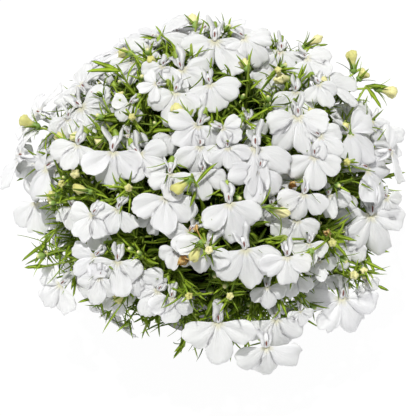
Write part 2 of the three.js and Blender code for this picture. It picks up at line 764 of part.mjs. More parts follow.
// Point on a stem at a distance below its head
function belowHead(stem, distance) {
  let left = distance;
  for (let step = stem.path.length - 1; step > 1; step -= 1) {
    const length = stem.path[step].distanceTo(stem.path[step - 1]);
    if (left < length) {
      return stem.path[step].clone().lerp(stem.path[step - 1], left / length);
    }
    left -= length;
  }
  return stem.path[1].clone();
}

// A limb leaves the stem below its head, straight at the first attempts and then bent once
function limbPoints(stem, ending, key, attempt) {
  const start = belowHead(stem, LIMB_REACH * draw(key, attempt, 1));
  if (attempt < STRAIGHT_TRIES) {
    return [start, ...ending];
  }
  const knee = ending[0].clone().lerp(start, 0.4);
  const sway = LIMB_SWAY * (attempt - STRAIGHT_TRIES + 1);
  knee.x += pick(-sway, sway, key, attempt, 2);
  knee.y += pick(-sway, sway, key, attempt, 3);
  knee.z += pick(-sway, sway, key, attempt, 4);
  return [start, knee, ...ending];
}

// Foot and mouth of the calyx behind a bloom's tube
function calyxPoints(bloom, length) {
  const mouth = along(bloom.throat, bloom.tube, TUBE_LENGTH * bloom.width + CLEARANCE + 0.05);
  return [along(mouth, bloom.tube, length), mouth];
}

// Calyx and limb behind a bloom's tube
function growCalyx(stems, bloom, key) {
  bloom.kept.owner = "free";
  for (const length of CALYX_LENGTHS) {
    const radii = [LIMB_RADIUS, CALYX_RADIUS];
    const grown = growLimb(stems, calyxPoints(bloom, length), radii, key);
    if (grown !== null) {
      return grown;
    }
  }
  return null;
}

// A closed bud on its limb, lifted or sunk until it is free
function growBud(stems, row, key) {
  const base = onMound(row[2] ?? row[0], row[3] ?? row[1]);
  const sight = camera.clone().sub(base).normalize();
  const tip = row.length === 4 ? onMound(row[0], row[1]) : along(base, sight, BUD_LENGTH);
  for (const lift of LIFTS) {
    const foot = along(base, sight, lift);
    const end = along(tip, sight, lift);
    const belly = foot.clone().lerp(end, 0.55);
    const radii = [LIMB_RADIUS, BUD_RADIUS, LIMB_RADIUS];
    const grown = growLimb(stems, [foot, belly, end], radii, key, LONE_TRIES);
    if (grown !== null) {
      return grown;
    }
  }
  return null;
}

// Point on a pixel's ray as deep in the picture as another point
function besideInPicture([x, y], point) {
  const depth = point.clone().sub(camera).dot(forward);
  const size = (MM_PER_PIXEL * depth) / VIEW_DISTANCE;
  const place = along(camera, forward, depth);
  place.addScaledVector(right, (x - PICTURE_MIDDLE[0]) * size);
  return place.addScaledVector(upward, (PICTURE_MIDDLE[1] - y) * size);
}

// The shoots of the photograph and those round the back: each where it ends and its leaves' tips
function shootRows() {
  const rows = SHOOTS.map(({ at, tips }) => {
    const end = onMound(...at);
    return { end, tips: tips.map((tip) => besideInPicture(tip, end)) };
  });
  for (let shoot = 0; shoot < BACK_SHOOTS.count; shoot += 1) {
    const share = shoot / (BACK_SHOOTS.count - 1);
    const azimuth = degrees(BACK_SHOOTS.from + (BACK_SHOOTS.to - BACK_SHOOTS.from) * share);
    const out = new THREE.Vector3(Math.sin(azimuth), Math.cos(azimuth), 0);
    const beside = new THREE.Vector3(Math.cos(azimuth), -Math.sin(azimuth), 0);
    const end = backThroat(out, beside, BACK_SHOOTS.latitude, 0, 0, [shoot, 9]);
    const tips = [];
    for (let leaf = 0; leaf < BACK_SHOOTS.leaves; leaf += 1) {
      const way = moundNormal(end).addScaledVector(beside, leaf - 1 + pick(-0.3, 0.3, shoot, leaf, 1));
      way.z += pick(-0.8, 0.6, shoot, leaf, 2);
      tips.push(along(end, way.normalize(), pick(LEAF.shortest * 0.7, LEAF.shortest, shoot, leaf, 3)));
    }
    rows.push({ end, tips });
  }
  return rows;
}

// A shoot on its limb, moved along the line of sight until it is free, with its leaves
function growShoot(stems, { end, tips }, index) {
  const sight = camera.clone().sub(end).normalize();
  for (const lift of LIFTS) {
    const place = along(end, sight, lift);
    const grown = growLimb(stems, [place], [LIMB_RADIUS], SHOOT_KEY + index, LONE_TRIES);
    if (grown === null) {
      continue;
    }
    for (const tip of tips) {
      const way = tip.clone().sub(end);
      const length = way.length();
      const halfWidth = LEAF.width / 2;
      const leaf = growLeaf(grown, place, way.normalize(), length, halfWidth, LEAF.outline, index);
      if (leaf !== null) {
        grown.pieces.push(leaf);
      }
    }
    return;
  }
}

// A leaf, or a spray of three, on a limb, if it is free
function growLeaf(grown, root, way, length, halfWidth, corners, key) {
  const across = new THREE.Vector3(pick(-1, 1, key, 5), pick(-1, 1, key, 6), pick(-0.4, 0.4, key, 7));
  const start = along(root, way, -LEAF_SUNK);
  const tip = along(root, way, length);
  const wide = blade(start, tip, across, halfWidth + CLEARANCE, LEAF.half + CLEARANCE, corners);
  const leaf = blade(start, tip, across, halfWidth, LEAF.half, corners);
  if (!isOutside(tip) && isFree(wide, grown.pieces) && joinTo(grown.stem, leaf)) {
    return place(grown.stem.name, leaf);
  }
  return null;
}

// A spray of leaves on a bloom's limb
function growSpray(grown, key) {
  if (grown === null) {
    return;
  }
  const [start, next] = grown.points;
  const root = start.clone().lerp(next, pick(0.35, 0.95, key, 1));
  const out = root.clone().sub(MOUND_CENTRE).normalize();
  const way = new THREE.Vector3(pick(-1, 1, key, 2), pick(-1, 1, key, 3), pick(-1, 1, key, 4));
  way.normalize().addScaledVector(out, LEAF_OUT).normalize();
  const length = pick(LEAF.shortest, LEAF.longest, key, 8);
  growLeaf(grown, root, way, length, length * SPRAY.halfWidth, SPRAY.outline, key);
}

// Whether a leaf's tip would stand too far out of the mound, or too low
function isOutside(tip) {
  const from = tip.clone().sub(MOUND_CENTRE);
  const height = from.z >= 0 ? MOUND_UP : MOUND_DOWN;
  const share = Math.hypot(from.x / MOUND_RADIUS, from.y / MOUND_RADIUS, from.z / height);
  return share > 1.22 || tip.z < 12;
}

const front = frontClusters();
const back = backClusters(front.flatMap((cluster) => cluster.blooms));
const clusters = [...front, ...back];
clusters.forEach(placeCluster);

const stems = mainStems();
const pot = place("pot", potSolid());
const compost = place("compost", compostSolid(stems));
for (const stem of stems) {
  stem.piece = place(stem.name, stem.whole);
}

const blooms = clusters.flatMap((cluster) => cluster.blooms);
const bloomLimbs = blooms.map((bloom, index) => growCalyx(stems, bloom, index));
BUDS.forEach((row, index) => growBud(stems, row, BUD_KEY + index));
shootRows().forEach((shoot, index) => growShoot(stems, shoot, index));
bloomLimbs.forEach((grown, index) => growSpray(grown, SPRAY_KEY + index));

const model = new THREE.Group();
const materials = {
  petal: { color: 0xf6f5f7, roughness: 0.6 },
  foliage: { color: 0x5d8a35, roughness: 0.55 },
  pot: { color: 0x35363a, roughness: 0.6 },
  compost: { color: 0x2e2219, roughness: 0.95 },
};

function addNode(name, solid, look) {
  const material = new THREE.MeshStandardMaterial({ ...materials[look], metalness: 0 });
  const mesh = new THREE.Mesh(geometryOf(solid), material);
  mesh.name = name;
  model.add(mesh);
}

addNode("pot", pot.solid, "pot");
addNode("compost", compost.solid, "compost");
stems.forEach((stem) => addNode(stem.name, largestPiece(stem.whole), "foliage"));
clusters.forEach((cluster) => addNode(cluster.name, cluster.solid, "petal"));

export default model;
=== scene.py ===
"""Potted edging lobelia: a round white mound of large-lipped blooms on thin leafy stems,
in a plain plastic pot. Lengths are in millimetres until a piece is made, +Z up."""

import math
from itertools import combinations

import bpy
import numpy as np
from mathutils import Matrix, Vector
from mathutils.bvhtree import BVHTree
from mathutils.kdtree import KDTree


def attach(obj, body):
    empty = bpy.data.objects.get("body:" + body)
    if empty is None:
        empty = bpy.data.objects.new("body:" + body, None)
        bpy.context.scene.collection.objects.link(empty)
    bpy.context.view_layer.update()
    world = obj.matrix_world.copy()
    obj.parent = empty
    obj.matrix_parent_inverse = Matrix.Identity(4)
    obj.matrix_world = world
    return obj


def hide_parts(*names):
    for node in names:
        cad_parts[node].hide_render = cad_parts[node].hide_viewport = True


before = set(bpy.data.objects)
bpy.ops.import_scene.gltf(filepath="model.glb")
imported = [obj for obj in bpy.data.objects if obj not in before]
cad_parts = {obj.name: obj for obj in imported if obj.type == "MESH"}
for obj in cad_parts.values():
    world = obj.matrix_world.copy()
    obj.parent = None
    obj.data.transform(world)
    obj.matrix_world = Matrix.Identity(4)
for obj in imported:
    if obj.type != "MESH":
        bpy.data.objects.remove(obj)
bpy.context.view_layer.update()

MM = 0.001
PICTURE_SIZE = 416

# The pot and its compost
POT_HEIGHT = 64
POT_FOOT_RADIUS = 29
POT_RIM_RADIUS = 43
POT_WALL = 1.8
POT_FLOOR = 2.4
RIM_BAND_HEIGHT = 9
RIM_BAND_OUT = 1.8
COMPOST_TOP = 57
COMPOST_CROWN = 1
SEAT_GAP = 0.3
STEM_HOLE_DEPTH = 7
POT_BERTH = 1.2
POT_SIDES = 96
POT_ROUNDING = 0.8
FLOOR_CAP = 4
DRAIN_HOLES = 6
HOLE_CIRCLE = 18
DRAIN_RADIUS = 2.6
COMPOST_SIDES = 72
COMPOST_RINGS = 26
COMPOST_ROUGH = 1.6
COMPOST_LUMP = 0.48
CRUMBS = 520
CRUMB_LEAST = 0.5
CRUMB_MORE = 1.3
PALE_CRUMB = (0.9, 0.97)

# The mound: the throats of the blooms lie on this egg
MOUND_CENTRE = np.array([0.0, 0.0, 68.0])
MOUND_RADIUS = 66
MOUND_UP = 52
MOUND_DOWN = 45

# The photographed view, in the pixels of the square photograph
VIEW_ELEVATION = math.radians(57)
VIEW_DISTANCE = 650
SENSOR = 36
MM_PER_PIXEL = 0.39
PICTURE_MIDDLE = (206, 208)
MOUND_PIXEL = (206, 186)
FACE_THE_MOUND = 0.35

# Light and floor
WORLD_STRENGTH = 0.4
WORLD_COLOUR = (0.97, 0.98, 1.0, 1.0)
KEY_FROM = (-0.12, -0.02, 1.0)
KEY_STRENGTH = 3.1
KEY_ANGLE = 2
KEY_COLOUR = (1.0, 0.995, 0.975)
FLOOR_GLOW = 0.97
FLOOR_REACH = 4.0

# Shape of a bloom, in parts of its width, some by its number of lobes. Angles are from the lip's
# middle, and the lobes nearest to it bear the palate.
MIDDLE_LOBE_TURN = 30
LOBE_ANGLES = {3: (58, 0, -58), 4: (78, 28, -28, -78)}
LOBE_LENGTHS = {3: (0.57, 0.63, 0.57), 4: (0.54, 0.6, 0.6, 0.54)}
LOBE_WIDTHS = {3: 0.4, 4: 0.35}
LOBE_MIDDLE = 0.6
LOBE_END = 0.95
LOBE_RISE = 0.03
END_WIDTH = 0.66
ROUND_CENTRE = 0.66
ROUND_TURN = math.radians(98)
LOBE_WEDGE = 1.42
LIP_START = 0.045
WEB_SHARE = 0.2
WEB_RADIUS = 0.42
MEETING_SHARES = (0.25, 0.4, 0.55, 0.7)
TUBE_LENGTH = 0.36
TUBE_END = 0.055
TUBE_BACK = 0.75
TUBE_RISE = 0.65
TUBE_OPENING = 0.04
UPPER_LENGTH = 0.3
UPPER_WIDTHS = (0.35, 0.55, 0.8, 1.0, 1.05, 0.9, 0.4)
ANTHER_RADIUS = 0.048
STREAK_RADIUS = 0.014
STREAK_OUT = 0.042
STREAK_TILT = (-0.02, 0.02)

# How much the lobes of the lip vary, and the waves and creases on them
LOBE_TURNS = (-7, 7)
LOBE_STRETCH = (0.93, 1.12)
LOBE_BROADEN = (0.96, 1.22)
LOBE_CURL = (-0.04, 0.13)
LOBE_HINGE = (-0.14, 0.12)
LOBE_CUP = (0.0, 0.05)
LOBE_TILT = (0.012, 0.035)
LOBE_SWAY = (-0.05, 0.05)
EDGE_TEETH = 0.055
NOTCH_DEPTH = (-0.02, 0.09)
NOTCH_PLACE = (-0.3, 0.3)
NOTCH_WIDTH = 0.2
CREASE_DEPTH = (0.008, 0.022)
CREASE_WIDTH = 0.14
PUFF_HEIGHT = 0.010
BROAD_WAVE = 0.024
FINE_WAVE = 0.011
PALATE_HEIGHT = 0.022
UPPER_STRETCH = (0.7, 1.3)
UPPER_LEAN = (-0.1, 0.75)
UPPER_BROAD = (0.08, 0.15)
UPPER_BACK = (-0.25, 0.35)
UPPER_TWIST = (0.2, 1.0)
UPPER_FOLD = 0.35
TUBE_BOW = 0.04
GROOVE_DEPTH = 0.3
GROOVE_WIDTH = 0.06

# Thickness of the petals, how far apart the ridges of two blooms meet, and the petals' divisions
PETAL_THICKNESS = 0.24
UPPER_THICKNESS = 0.3
TUBE_THICKNESS = 0.22
RIDGE_OFFSET = 3.2
LOBE_COLUMNS = 16
LOBE_ROWS = 12
SWELL_COLUMNS = 3
TUBE_SIDES = 12
TUBE_RINGS = 6

# Stems, calyces and buds
STEM_RADIUS = 1.7
STEM_TAPER = 0.5
STEM_SIDES = 10
TWIG_RADII = (0.55, 0.3)
TWIG_SIDES = 6
SHOOT_RADII = (0.55, 0.4)
STALK_SIDES = 7
CUP_SIDES = 8
LIMB_RADIUS = 0.5
LIMB_SIDES = 3
LIMB_REACH = 24
LIMB_TRIES = 24
STRAIGHT_TRIES = 4
LONE_TRIES = 16
LIMB_SWAY = 0.7
KNEE_SHARE = 0.4
NEAREST_STEMS = 5
CALYX_RADIUS = 1.5
CALYX_LENGTHS = (3, 1.8)
CUP_RADIUS = 1.55
CUP_STEPS = 5
STALK_RADIUS = 0.42
THREAD_RADIUS = 0.36
BUD_RADIUS = 1.7
BUD_LENGTH = 7
BUD_LONGEST = 8.5
FACING_BUD_SHARE = 0.74
BUD_SIDES = 20
BUD_SHARES = (-0.08, 0.01, 0.1, 0.2, 0.3, 0.4, 0.5, 0.6, 0.7, 0.79, 0.88, 0.97, 1.03, 1.0, 0.92)
BUD_PROFILE = (0.5, 1.1, 1.35, 1.2, 1.1, 1.15, 1.35, 1.7, 2.0, 2.1, 2.0, 1.7, 1.2, 0.7, 0.25)
BUD_PLUMPNESS = (0.78, 1.12)
BUD_FOLDS = 5
BUD_FURL = 0.18
BUD_CRUMPLE = 0.18
BUD_TWIST = (-0.8, 0.8)
BUD_TIPS = (-0.16, 0.1)
YOUNG_SIZES = (0.8, 1.25)
YOUNG_LENGTH = 3.2
YOUNG_SHARES = (0, 0.2, 0.45, 0.7, 0.9, 1.0)
YOUNG_PROFILE = (0.4, 0.85, 1.0, 0.9, 0.6, 0.15)
LIFTS = (0, 1.5, 3, -1.5, 4.5, -3, 6, -5, 8, -7)
CLEARANCE = 0.3

# Sepals: how many, their shape, and length and spread of those of calyces, buds and young buds
SEPALS = 5
SEPAL_SHARES = (0, 0.25, 0.55, 0.8, 1)
SEPAL_WIDTHS = (1.0, 0.95, 0.75, 0.5, 0.08)
SEPAL_THICKNESS = 0.3
SEPAL_LEAN = (0.6, 1.3)
SEPAL_STRETCH = (0.8, 1.15)
CALYX_SEPALS = (6.2, 0.95)
BUD_SEPALS = (5.4, 0.6)
YOUNG_SEPALS = (4.6, 0.85)

# Leaves: their shape, and for each kind of shoot their spacing, shortest and longest length, the
# bare share of the shoot, and how far out of the mound they may reach, 1 on its egg
LEAF_SHARES = (0, 0.18, 0.38, 0.6, 0.82, 1)
LEAF_THICKNESS = 0.34
LEAF_SLIM = (0.04, 0.075)
LEAF_FOLD = (0.1, 0.45)
LEAF_BEND = (-0.5, 1.0)
LEAF_SWAY = (-0.9, 0.9)
LEAF_TOOTH = 0.16
LEAF_DROOP = 0.4
SHOOT_LEAF_WIDTH = 1.716
LEAF_SHORTEST = 14
LEAF_TRIES = 3
LEAF_SHRINK = 0.68
LEAF_LEAST = 4
LEAVES = {
    "stem": (3.6, 12, 20, 0.1, 1.04),
    "branch": (4.2, 8, 16, 0.1, 0.88),
    "trailer": (3.0, 9, 16, 0.1, 1.04),
    "skirt": (2.8, 8, 15, 0.35, 1.04),
    "limb": (4.2, 8, 16, 0.3, 1.15),
}
GOLDEN_TURN = 2.4
FULL_TURN = 6.28

# Branches inside the mound, hanging over the pot's rim and round it, and narrow leaves between
# petals. Tries are how often a branch is shortened and to what share. The skirt's branches go over a
# place and end at another, each between two distances from the axis and two heights.
BRANCHES_PER_STEM = {"stems_low": 11, "stems_middle": 9, "stems_top": 11}
BRANCH_LENGTHS = (20, 36)
BRANCH_RISE = (-2, 5)
BRANCH_LIMIT = 0.88
BRANCH_TRIES = (4, 0.72)
BRANCH_LEAST = 7
YOUNG_BUD_SHARE = 0.7
TRAILERS = 18
TRAILER_LENGTHS = (20, 40)
TRAILER_FALL = (0, 10)
TRAILER_LIMIT = 1.0
TRAILER_TRIES = (5, 0.8)
SKIRT = 9
SKIRT_SPREAD = 46
SKIRT_OVER = ((45, 50), (67, 74))
SKIRT_END = ((49, 57), (52, 66))
BRACTS = 4
BRACT_LENGTHS = (12, 22)
BRACT_TRIES = 4
BRACT_SHRINK = 0.75
BRACT_LIMIT = 1.1
BRACT_BUD_CHANCE = 0.4

# First numbers of the seeded draws
SEED = 20261
TILT_KEY = 900
FILL_KEY = 900
BUD_KEY = 1000
SHOOT_KEY = 1500
LOOK_KEY = 5000
BRANCH_KEY = 25000
TRAILER_KEY = 31000
SKIRT_KEY = 33000
STEM_LEAF_KEY = 35000
WITHERED_KEY = 45000
KEYS_PER_STEM = 40

# Places of the materials in the lists of the petals and the foliage
ANTHER_LOOK = 1
STEM_LOOK = 1
BUD_LOOK = 2
WITHERED_LOOK = 3
GREEN_PART = (1, 0.42)

# Rows of main stems: how many, turn of the first, distance of the roots from the axis, and
# the distances from the axis and heights on the way to the heads
STEM_ROWS = (
    ("stems_low", 8, 22.5, 22, ((25, 71), (38, 77), (47, 71))),
    ("stems_middle", 6, 0, 12, ((14, 70), (27, 86))),
    ("stems_top", 1, 0, 0, ((0, 74), (0, 92))),
)

# Each row is one cluster of touching blooms. A bloom is
# (x, y of its throat, lip's angle from straight down, width, lobes), in the photograph's pixels.
FRONT_CLUSTERS = (
    ((214.8, 40.4, 0, 69, 4), (243, 38, 40, 50, 3)),
    ((182.2, 68.9, 20, 58, 4), (163, 66, -20, 40, 3)),
    ((176, 92, -10, 50, 3), (157, 84, -75, 30, 3), (211, 82, 15, 50, 3)),
    ((150, 47, -45, 40, 3), (133, 62, -15, 42, 3)),
    ((198.3, 124.7, -25, 52, 4), (200, 146, 0, 50, 3), (203, 172, 5, 44, 3)),
    ((222, 128, 60, 36, 3), (228, 150, 10, 40, 3)),
    ((80.8, 107.1, 45, 60, 4), (68, 118, -10, 44, 3)),
    ((130, 104, -40, 34, 3),),
    ((280.2, 50.8, -8, 54, 3), (309.6, 57.5, 50, 45, 3), (273, 72, -10, 44, 3)),
    ((295.4, 91.4, 0, 48, 3), (318, 84, 20, 40, 3)),
    ((297.6, 116, 0, 62, 4), (326, 138, 50, 42, 3), (313.8, 155.6, 0, 53, 3)),
    ((369.9, 121.3, -5, 50, 4), (353.8, 141, 0, 28, 3), (347, 103, 10, 42, 3)),
    ((384, 136, 40, 44, 3), (374, 148, 5, 44, 3)),
    ((37.9, 159.9, -40, 52, 4), (58, 170, -20, 44, 3)),
    ((36.2, 201.9, 0, 58, 3), (71, 221.5, -15, 36, 3)),
    ((113.4, 151, -2, 63, 3), (78, 144, -20, 48, 3), (139.4, 153.5, 40, 55, 3)),
    ((117.9, 208.6, -22, 48, 3), (92, 217, -35, 46, 3)),
    ((165.8, 196.3, -5, 59, 3), (170, 172, 0, 44, 3)),
    ((229.6, 202.5, 8, 64, 3),),
    ((255.1, 146.7, 0, 71, 3), (259, 168, -12, 55, 3)),
    ((245.2, 248.5, 10, 64, 3), (289.3, 259, 3, 50, 3), (195, 236, -30, 52, 3)),
    ((304, 193.6, -10, 46, 3),),
    ((370.4, 214.1, 0, 73, 4), (338, 195, 0, 40, 3), (386, 198, 30, 36, 3), (346, 244, -10, 44, 3)),
    ((297, 220, 0, 48, 3), (309, 243, 0, 36, 3)),
    ((61, 284, -47, 50, 3),),
    ((117.8, 260.4, -3, 54, 3), (95.9, 255.4, -45, 46, 3), (100, 276, -20, 44, 3)),
    ((158, 290, -35, 46, 3), (138, 272, 10, 44, 3), (172, 297, -5, 44, 3)),
    ((217.9, 321.6, 0, 68, 3),),
    ((276, 318.5, 5, 56, 3), (258.9, 365, 5, 63, 3), (302, 308, 10, 26, 3)),
    ((341.6, 297.1, 0, 71, 4), (322, 274, 0, 40, 3), (368, 279, 20, 30, 3)),
)

# Buds in the photograph's pixels: tip then base, or one point where the bud faces the camera
BUDS = (
    (19.6, 119, 39, 127),
    (58, 137, 66, 142),
    (72, 137, 89, 136),
    (95, 136),
    (96, 143, 106, 138),
    (120, 94, 122, 102),
    (132, 117),
    (121, 53, 137, 54),
    (192.5, 18, 199, 34),
    (180, 55, 191, 54),
    (173, 107, 189, 115),
    (195, 101, 197, 112),
    (244, 62, 248, 70),
    (228, 128, 243, 117),
    (151, 60),
    (322, 37, 300, 49),
    (275.7, 79, 295, 78),
    (350.7, 51, 354, 74),
    (396.5, 93, 370, 87),
    (366, 72, 358, 80),
    (319, 79, 331, 91),
    (308, 113, 318, 115),
    (342.5, 123.6, 350, 135),
    (278, 70),
    (75, 173.7),
    (61.6, 183.6),
    (49, 197, 60, 195),
    (75, 188, 94, 192.5),
    (128.6, 188),
    (45.5, 254),
    (173, 192, 192, 178),
    (192, 260.5, 202, 241),
    (209, 250),
    (288, 214, 262, 206),
    (378, 173, 360, 174),
    (396, 204, 377, 190),
    (332.5, 242.7),
    (322.7, 249.8),
    (302, 263, 312, 250),
    (354, 275),
    (364, 271),
    (347, 162),
    (115.5, 299, 130, 289),
    (189, 296),
    (230, 296),
)

# Leafy shoots at the edge of the mound: where each ends, and the tips of its leaves
SHOOTS = (
    ((120.5, 71), ((87.5, 58), (83, 66.6), (100, 79))),
    ((157, 41), ((138, 34),)),
    ((277.5, 46.8), ((273, 29),)),
    ((310, 47), ((329.6, 41.5),)),
    ((366, 86), ((383.6, 108.6), (390, 85.6))),
    ((377, 179), ((408.4, 168),)),
    ((359, 258), ((388.8, 272),)),
    ((377, 285), ((390, 291),)),
    ((45, 129), ((21.8, 129),)),
    ((46.8, 266), ((21.8, 266),)),
    ((100, 297), ((75, 301.5), (104.8, 317.5))),
    ((122.7, 303), ((99, 333.6), (135, 322.9))),
    ((184, 346.6), ((172, 358.7),)),
    ((249, 345.7), ((245.5, 366), (268.8, 339.5))),
)

# Round the back: shoots (latitude, first and last azimuth from +Y, count, leaves on each)
# and rows of clusters (latitude, first and last azimuth, count)
BACK_SHOOTS = (-6, -112, 112, 8, 3)
BACK_ROWS = ((-24, -122.5, 122.5, 8), (12, -86, 86, 5))
BACK_TEMPLATE = ((0, 0), (17, 6), (-16, -8))
BACK_WIDTHS = (23, 27)
BACK_NEAREST = 15
BACK_RISE = 0.35
BACK_TURNS = (-28, 28)
BACK_STRAY = (-2, 2)
FOUR_LOBES_CHANCE = 0.25
LIFT_STEP = 1.5
LIFT_TRIES = 16

# A limb is in a solid where this share of its corners lies as near as this to the solid's corners
CORNER_SHARE = 0.7
CORNER_TOLERANCE = 0.06

# Half-hidden blooms between those of the solids: as in a cluster's row and how far each is sunk into
# the mound, then rows round the mound (latitude, first and last azimuth, count)
FILL_PHOTO = (
    (190, 231, -38, 44, 3, 3),
    (67, 206, 5, 36, 3, 6),
    (93, 232, -10, 30, 3, 6),
    (113, 296, 10, 38, 3, 5),
    (150, 216, 0, 30, 3, 6),
    (268, 288, 5, 38, 3, 3),
    (298, 277, -15, 36, 3, 3),
    (322, 262, 10, 34, 3, 4),
    (176, 250, -20, 34, 3, 5),
    (274, 204, 0, 36, 3, 7),
    (333, 194, 10, 40, 3, 6),
    (293, 172, 0, 30, 3, 7),
    (361, 147, -10, 40, 3, 6),
    (250, 118, 0, 40, 3, 8),
    (170, 131, 0, 36, 3, 7),
    (171, 73, 5, 36, 3, 6),
    (126, 131, 15, 34, 3, 6),
)
FILL_ROWS = ((36, -84, 84, 9), (58, -60, 60, 5), (-2, -118, 118, 9), (24, -96, 96, 10))
FILL_NEAREST = 13

# Withered petals in the photograph's pixels
WITHERED = ((195, 225), (183, 257), (290, 182), (327, 229))
WITHERED_WIDTHS = (0.3, 0.3, 0.5, 2.2, 3.2, 2.8, 2.0, 0.6)

RIGHT = np.array([1.0, 0.0, 0.0])
FORWARD = np.array([0.0, math.cos(VIEW_ELEVATION), -math.sin(VIEW_ELEVATION)])
UPWARD = np.array([0.0, math.sin(VIEW_ELEVATION), math.cos(VIEW_ELEVATION)])
LEVEL_UP = np.array([0.0, 0.0, 1.0])
TARGET = MOUND_CENTRE + UPWARD * (MOUND_PIXEL[1] - PICTURE_MIDDLE[1]) * MM_PER_PIXEL
CAMERA = TARGET - FORWARD * VIEW_DISTANCE


def unit(vector):
    return vector / np.linalg.norm(vector)


def smooth(low, high, value):
    share = np.clip((value - low) / (high - low), 0, 1)
    return share * share * (3 - 2 * share)


def draw(*keys):
    """Seeded draw between 0 and 1 for a list of whole numbers."""
    value = SEED
    for key in keys:
        value = ((value ^ (key + 1)) * 0x9E3779B1) & 0xFFFFFFFF
        value ^= value >> 15
    value = (value * 0x85EBCA6B) & 0xFFFFFFFF
    value ^= value >> 13
    return value / 4294967296


def pick(low, high, *keys):
    return low + (high - low) * draw(*keys)


def bell(value, centre, width):
    return np.exp(-((value - centre) / width) ** 2)


def wall_radius(height):
    """Outer radius of the pot's tapered wall."""
    return POT_FOOT_RADIUS + (POT_RIM_RADIUS - POT_FOOT_RADIUS) / POT_HEIGHT * height


# Places on the mound


def first_meeting(ray, height):
    """How far along a ray from the camera the egg begins, for the height of its half."""
    scale = np.array([1 / MOUND_RADIUS, 1 / MOUND_RADIUS, 1 / height])
    start = (CAMERA - MOUND_CENTRE) * scale
    way = ray * scale
    a = way @ way
    b = start @ way
    rest = b * b - a * (start @ start - 1)
    return (-b - math.sqrt(max(rest, 0))) / a


def on_mound(x, y):
    """Where a pixel's ray first meets the mound, or passes it closest."""
    ray = FORWARD * VIEW_DISTANCE
    ray = ray + RIGHT * (x - PICTURE_MIDDLE[0]) * MM_PER_PIXEL
    ray = ray + UPWARD * (PICTURE_MIDDLE[1] - y) * MM_PER_PIXEL
    upper = CAMERA + ray * first_meeting(ray, MOUND_UP)
    if upper[2] >= MOUND_CENTRE[2]:
        return upper
    return CAMERA + ray * first_meeting(ray, MOUND_DOWN)


def mound_scale(offset):
    height = MOUND_UP if offset[2] >= 0 else MOUND_DOWN
    return np.array([MOUND_RADIUS, MOUND_RADIUS, height])


def mound_normal(point):
    offset = point - MOUND_CENTRE
    return unit(offset / mound_scale(offset) ** 2)


def mound_share(point):
    """How far out of the mound's middle a point is, 1 on the egg."""
    offset = point - MOUND_CENTRE
    return np.linalg.norm(offset / mound_scale(offset))


def around(azimuth):
    """Outward and sideways directions at an azimuth from +Y."""
    turn = math.radians(azimuth)
    out = np.array([math.sin(turn), math.cos(turn), 0.0])
    return out, np.array([math.cos(turn), -math.sin(turn), 0.0])


# Blooms: where they are and how they face


def bloom_frame(throat, facing, hang, width, lobes):
    lip = unit(hang - facing * (hang @ facing))
    tube = unit(-TUBE_BACK * facing - TUBE_RISE * lip)
    side = np.cross(lip, facing)
    axes = {"facing": facing, "lip": lip, "side": side, "tube": tube}
    return {"throat": throat, "width": width, "lobes": lobes, **axes}


def photo_bloom(x, y, turn, pixels, lobes):
    """A photographed bloom on the egg, which looks at the camera and a little outwards."""
    throat = on_mound(x, y)
    to_camera = unit(CAMERA - throat)
    facing = unit(to_camera * (1 - FACE_THE_MOUND) + mound_normal(throat) * FACE_THE_MOUND)
    hang = -UPWARD * math.cos(math.radians(turn)) + RIGHT * math.sin(math.radians(turn))
    depth = (throat - CAMERA) @ FORWARD
    return bloom_frame(throat, facing, hang, pixels * MM_PER_PIXEL * depth / VIEW_DISTANCE, lobes)


def in_bloom(bloom, side, lip, facing):
    """Points at distances to the side, down the lip and out of it, in parts of the bloom's width."""
    return bloom["throat"] + bloom["width"] * (
        np.multiply.outer(side, bloom["side"])
        + np.multiply.outer(lip, bloom["lip"])
        + np.multiply.outer(facing, bloom["facing"])
    )


def in_lobe(bloom, angle, out, across, height):
    """Point on the lobe at an angle: out from the throat, across the lobe and up from it."""
    turn = math.radians(angle)
    side = np.sin(turn) * out - np.cos(turn) * across
    lip = np.cos(turn) * out + np.sin(turn) * across
    return in_bloom(bloom, side, lip, height)


def ridge_points(bloom):
    """Points on the ridges of a bloom's lobes, at which another bloom may meet it."""
    points = []
    lobes = bloom["lobes"]
    for angle, length in zip(LOBE_ANGLES[lobes], LOBE_LENGTHS[lobes]):
        for share in MEETING_SHARES:
            if share < LOBE_MIDDLE:
                height = LOBE_RISE * share / LOBE_MIDDLE
            else:
                height = LOBE_RISE * (1 - 2 * (share - LOBE_MIDDLE) / (LOBE_END - LOBE_MIDDLE))
            points.append(in_lobe(bloom, angle, length * share, 0.0, height))
    return np.array(points)


def settle(blooms, sight):
    """Slides each later bloom of a cluster until a ridge of it meets a ridge before it."""
    for index in range(1, len(blooms)):
        bloom = blooms[index]
        others = np.concatenate([ridge_points(other) for other in blooms[:index]])
        own = ridge_points(bloom)
        gaps = others[:, None, :] - own[None, :, :]
        depths = gaps @ sight
        asides = gaps - depths[..., None] * sight
        distances = np.linalg.norm(asides, axis=2)
        best = np.unravel_index(np.argmin(distances), distances.shape)
        closer = max(0, 1 - RIDGE_OFFSET / distances[best])
        bloom["throat"] = bloom["throat"] + sight * depths[best] + asides[best] * closer


def back_throat(out, beside, latitude, aside, above, keys):
    """A point on the egg at a latitude, moved aside and up by millimetres and a small draw."""
    angle = math.radians(latitude) + (above + pick(*BACK_STRAY, *keys, 1)) / MOUND_RADIUS
    height = MOUND_UP if angle >= 0 else MOUND_DOWN
    radius = MOUND_RADIUS * math.cos(angle)
    turn = (aside + pick(*BACK_STRAY, *keys, 2)) / radius
    level = out * radius * math.cos(turn) + beside * radius * math.sin(turn)
    return MOUND_CENTRE + level + LEVEL_UP * height * math.sin(angle)


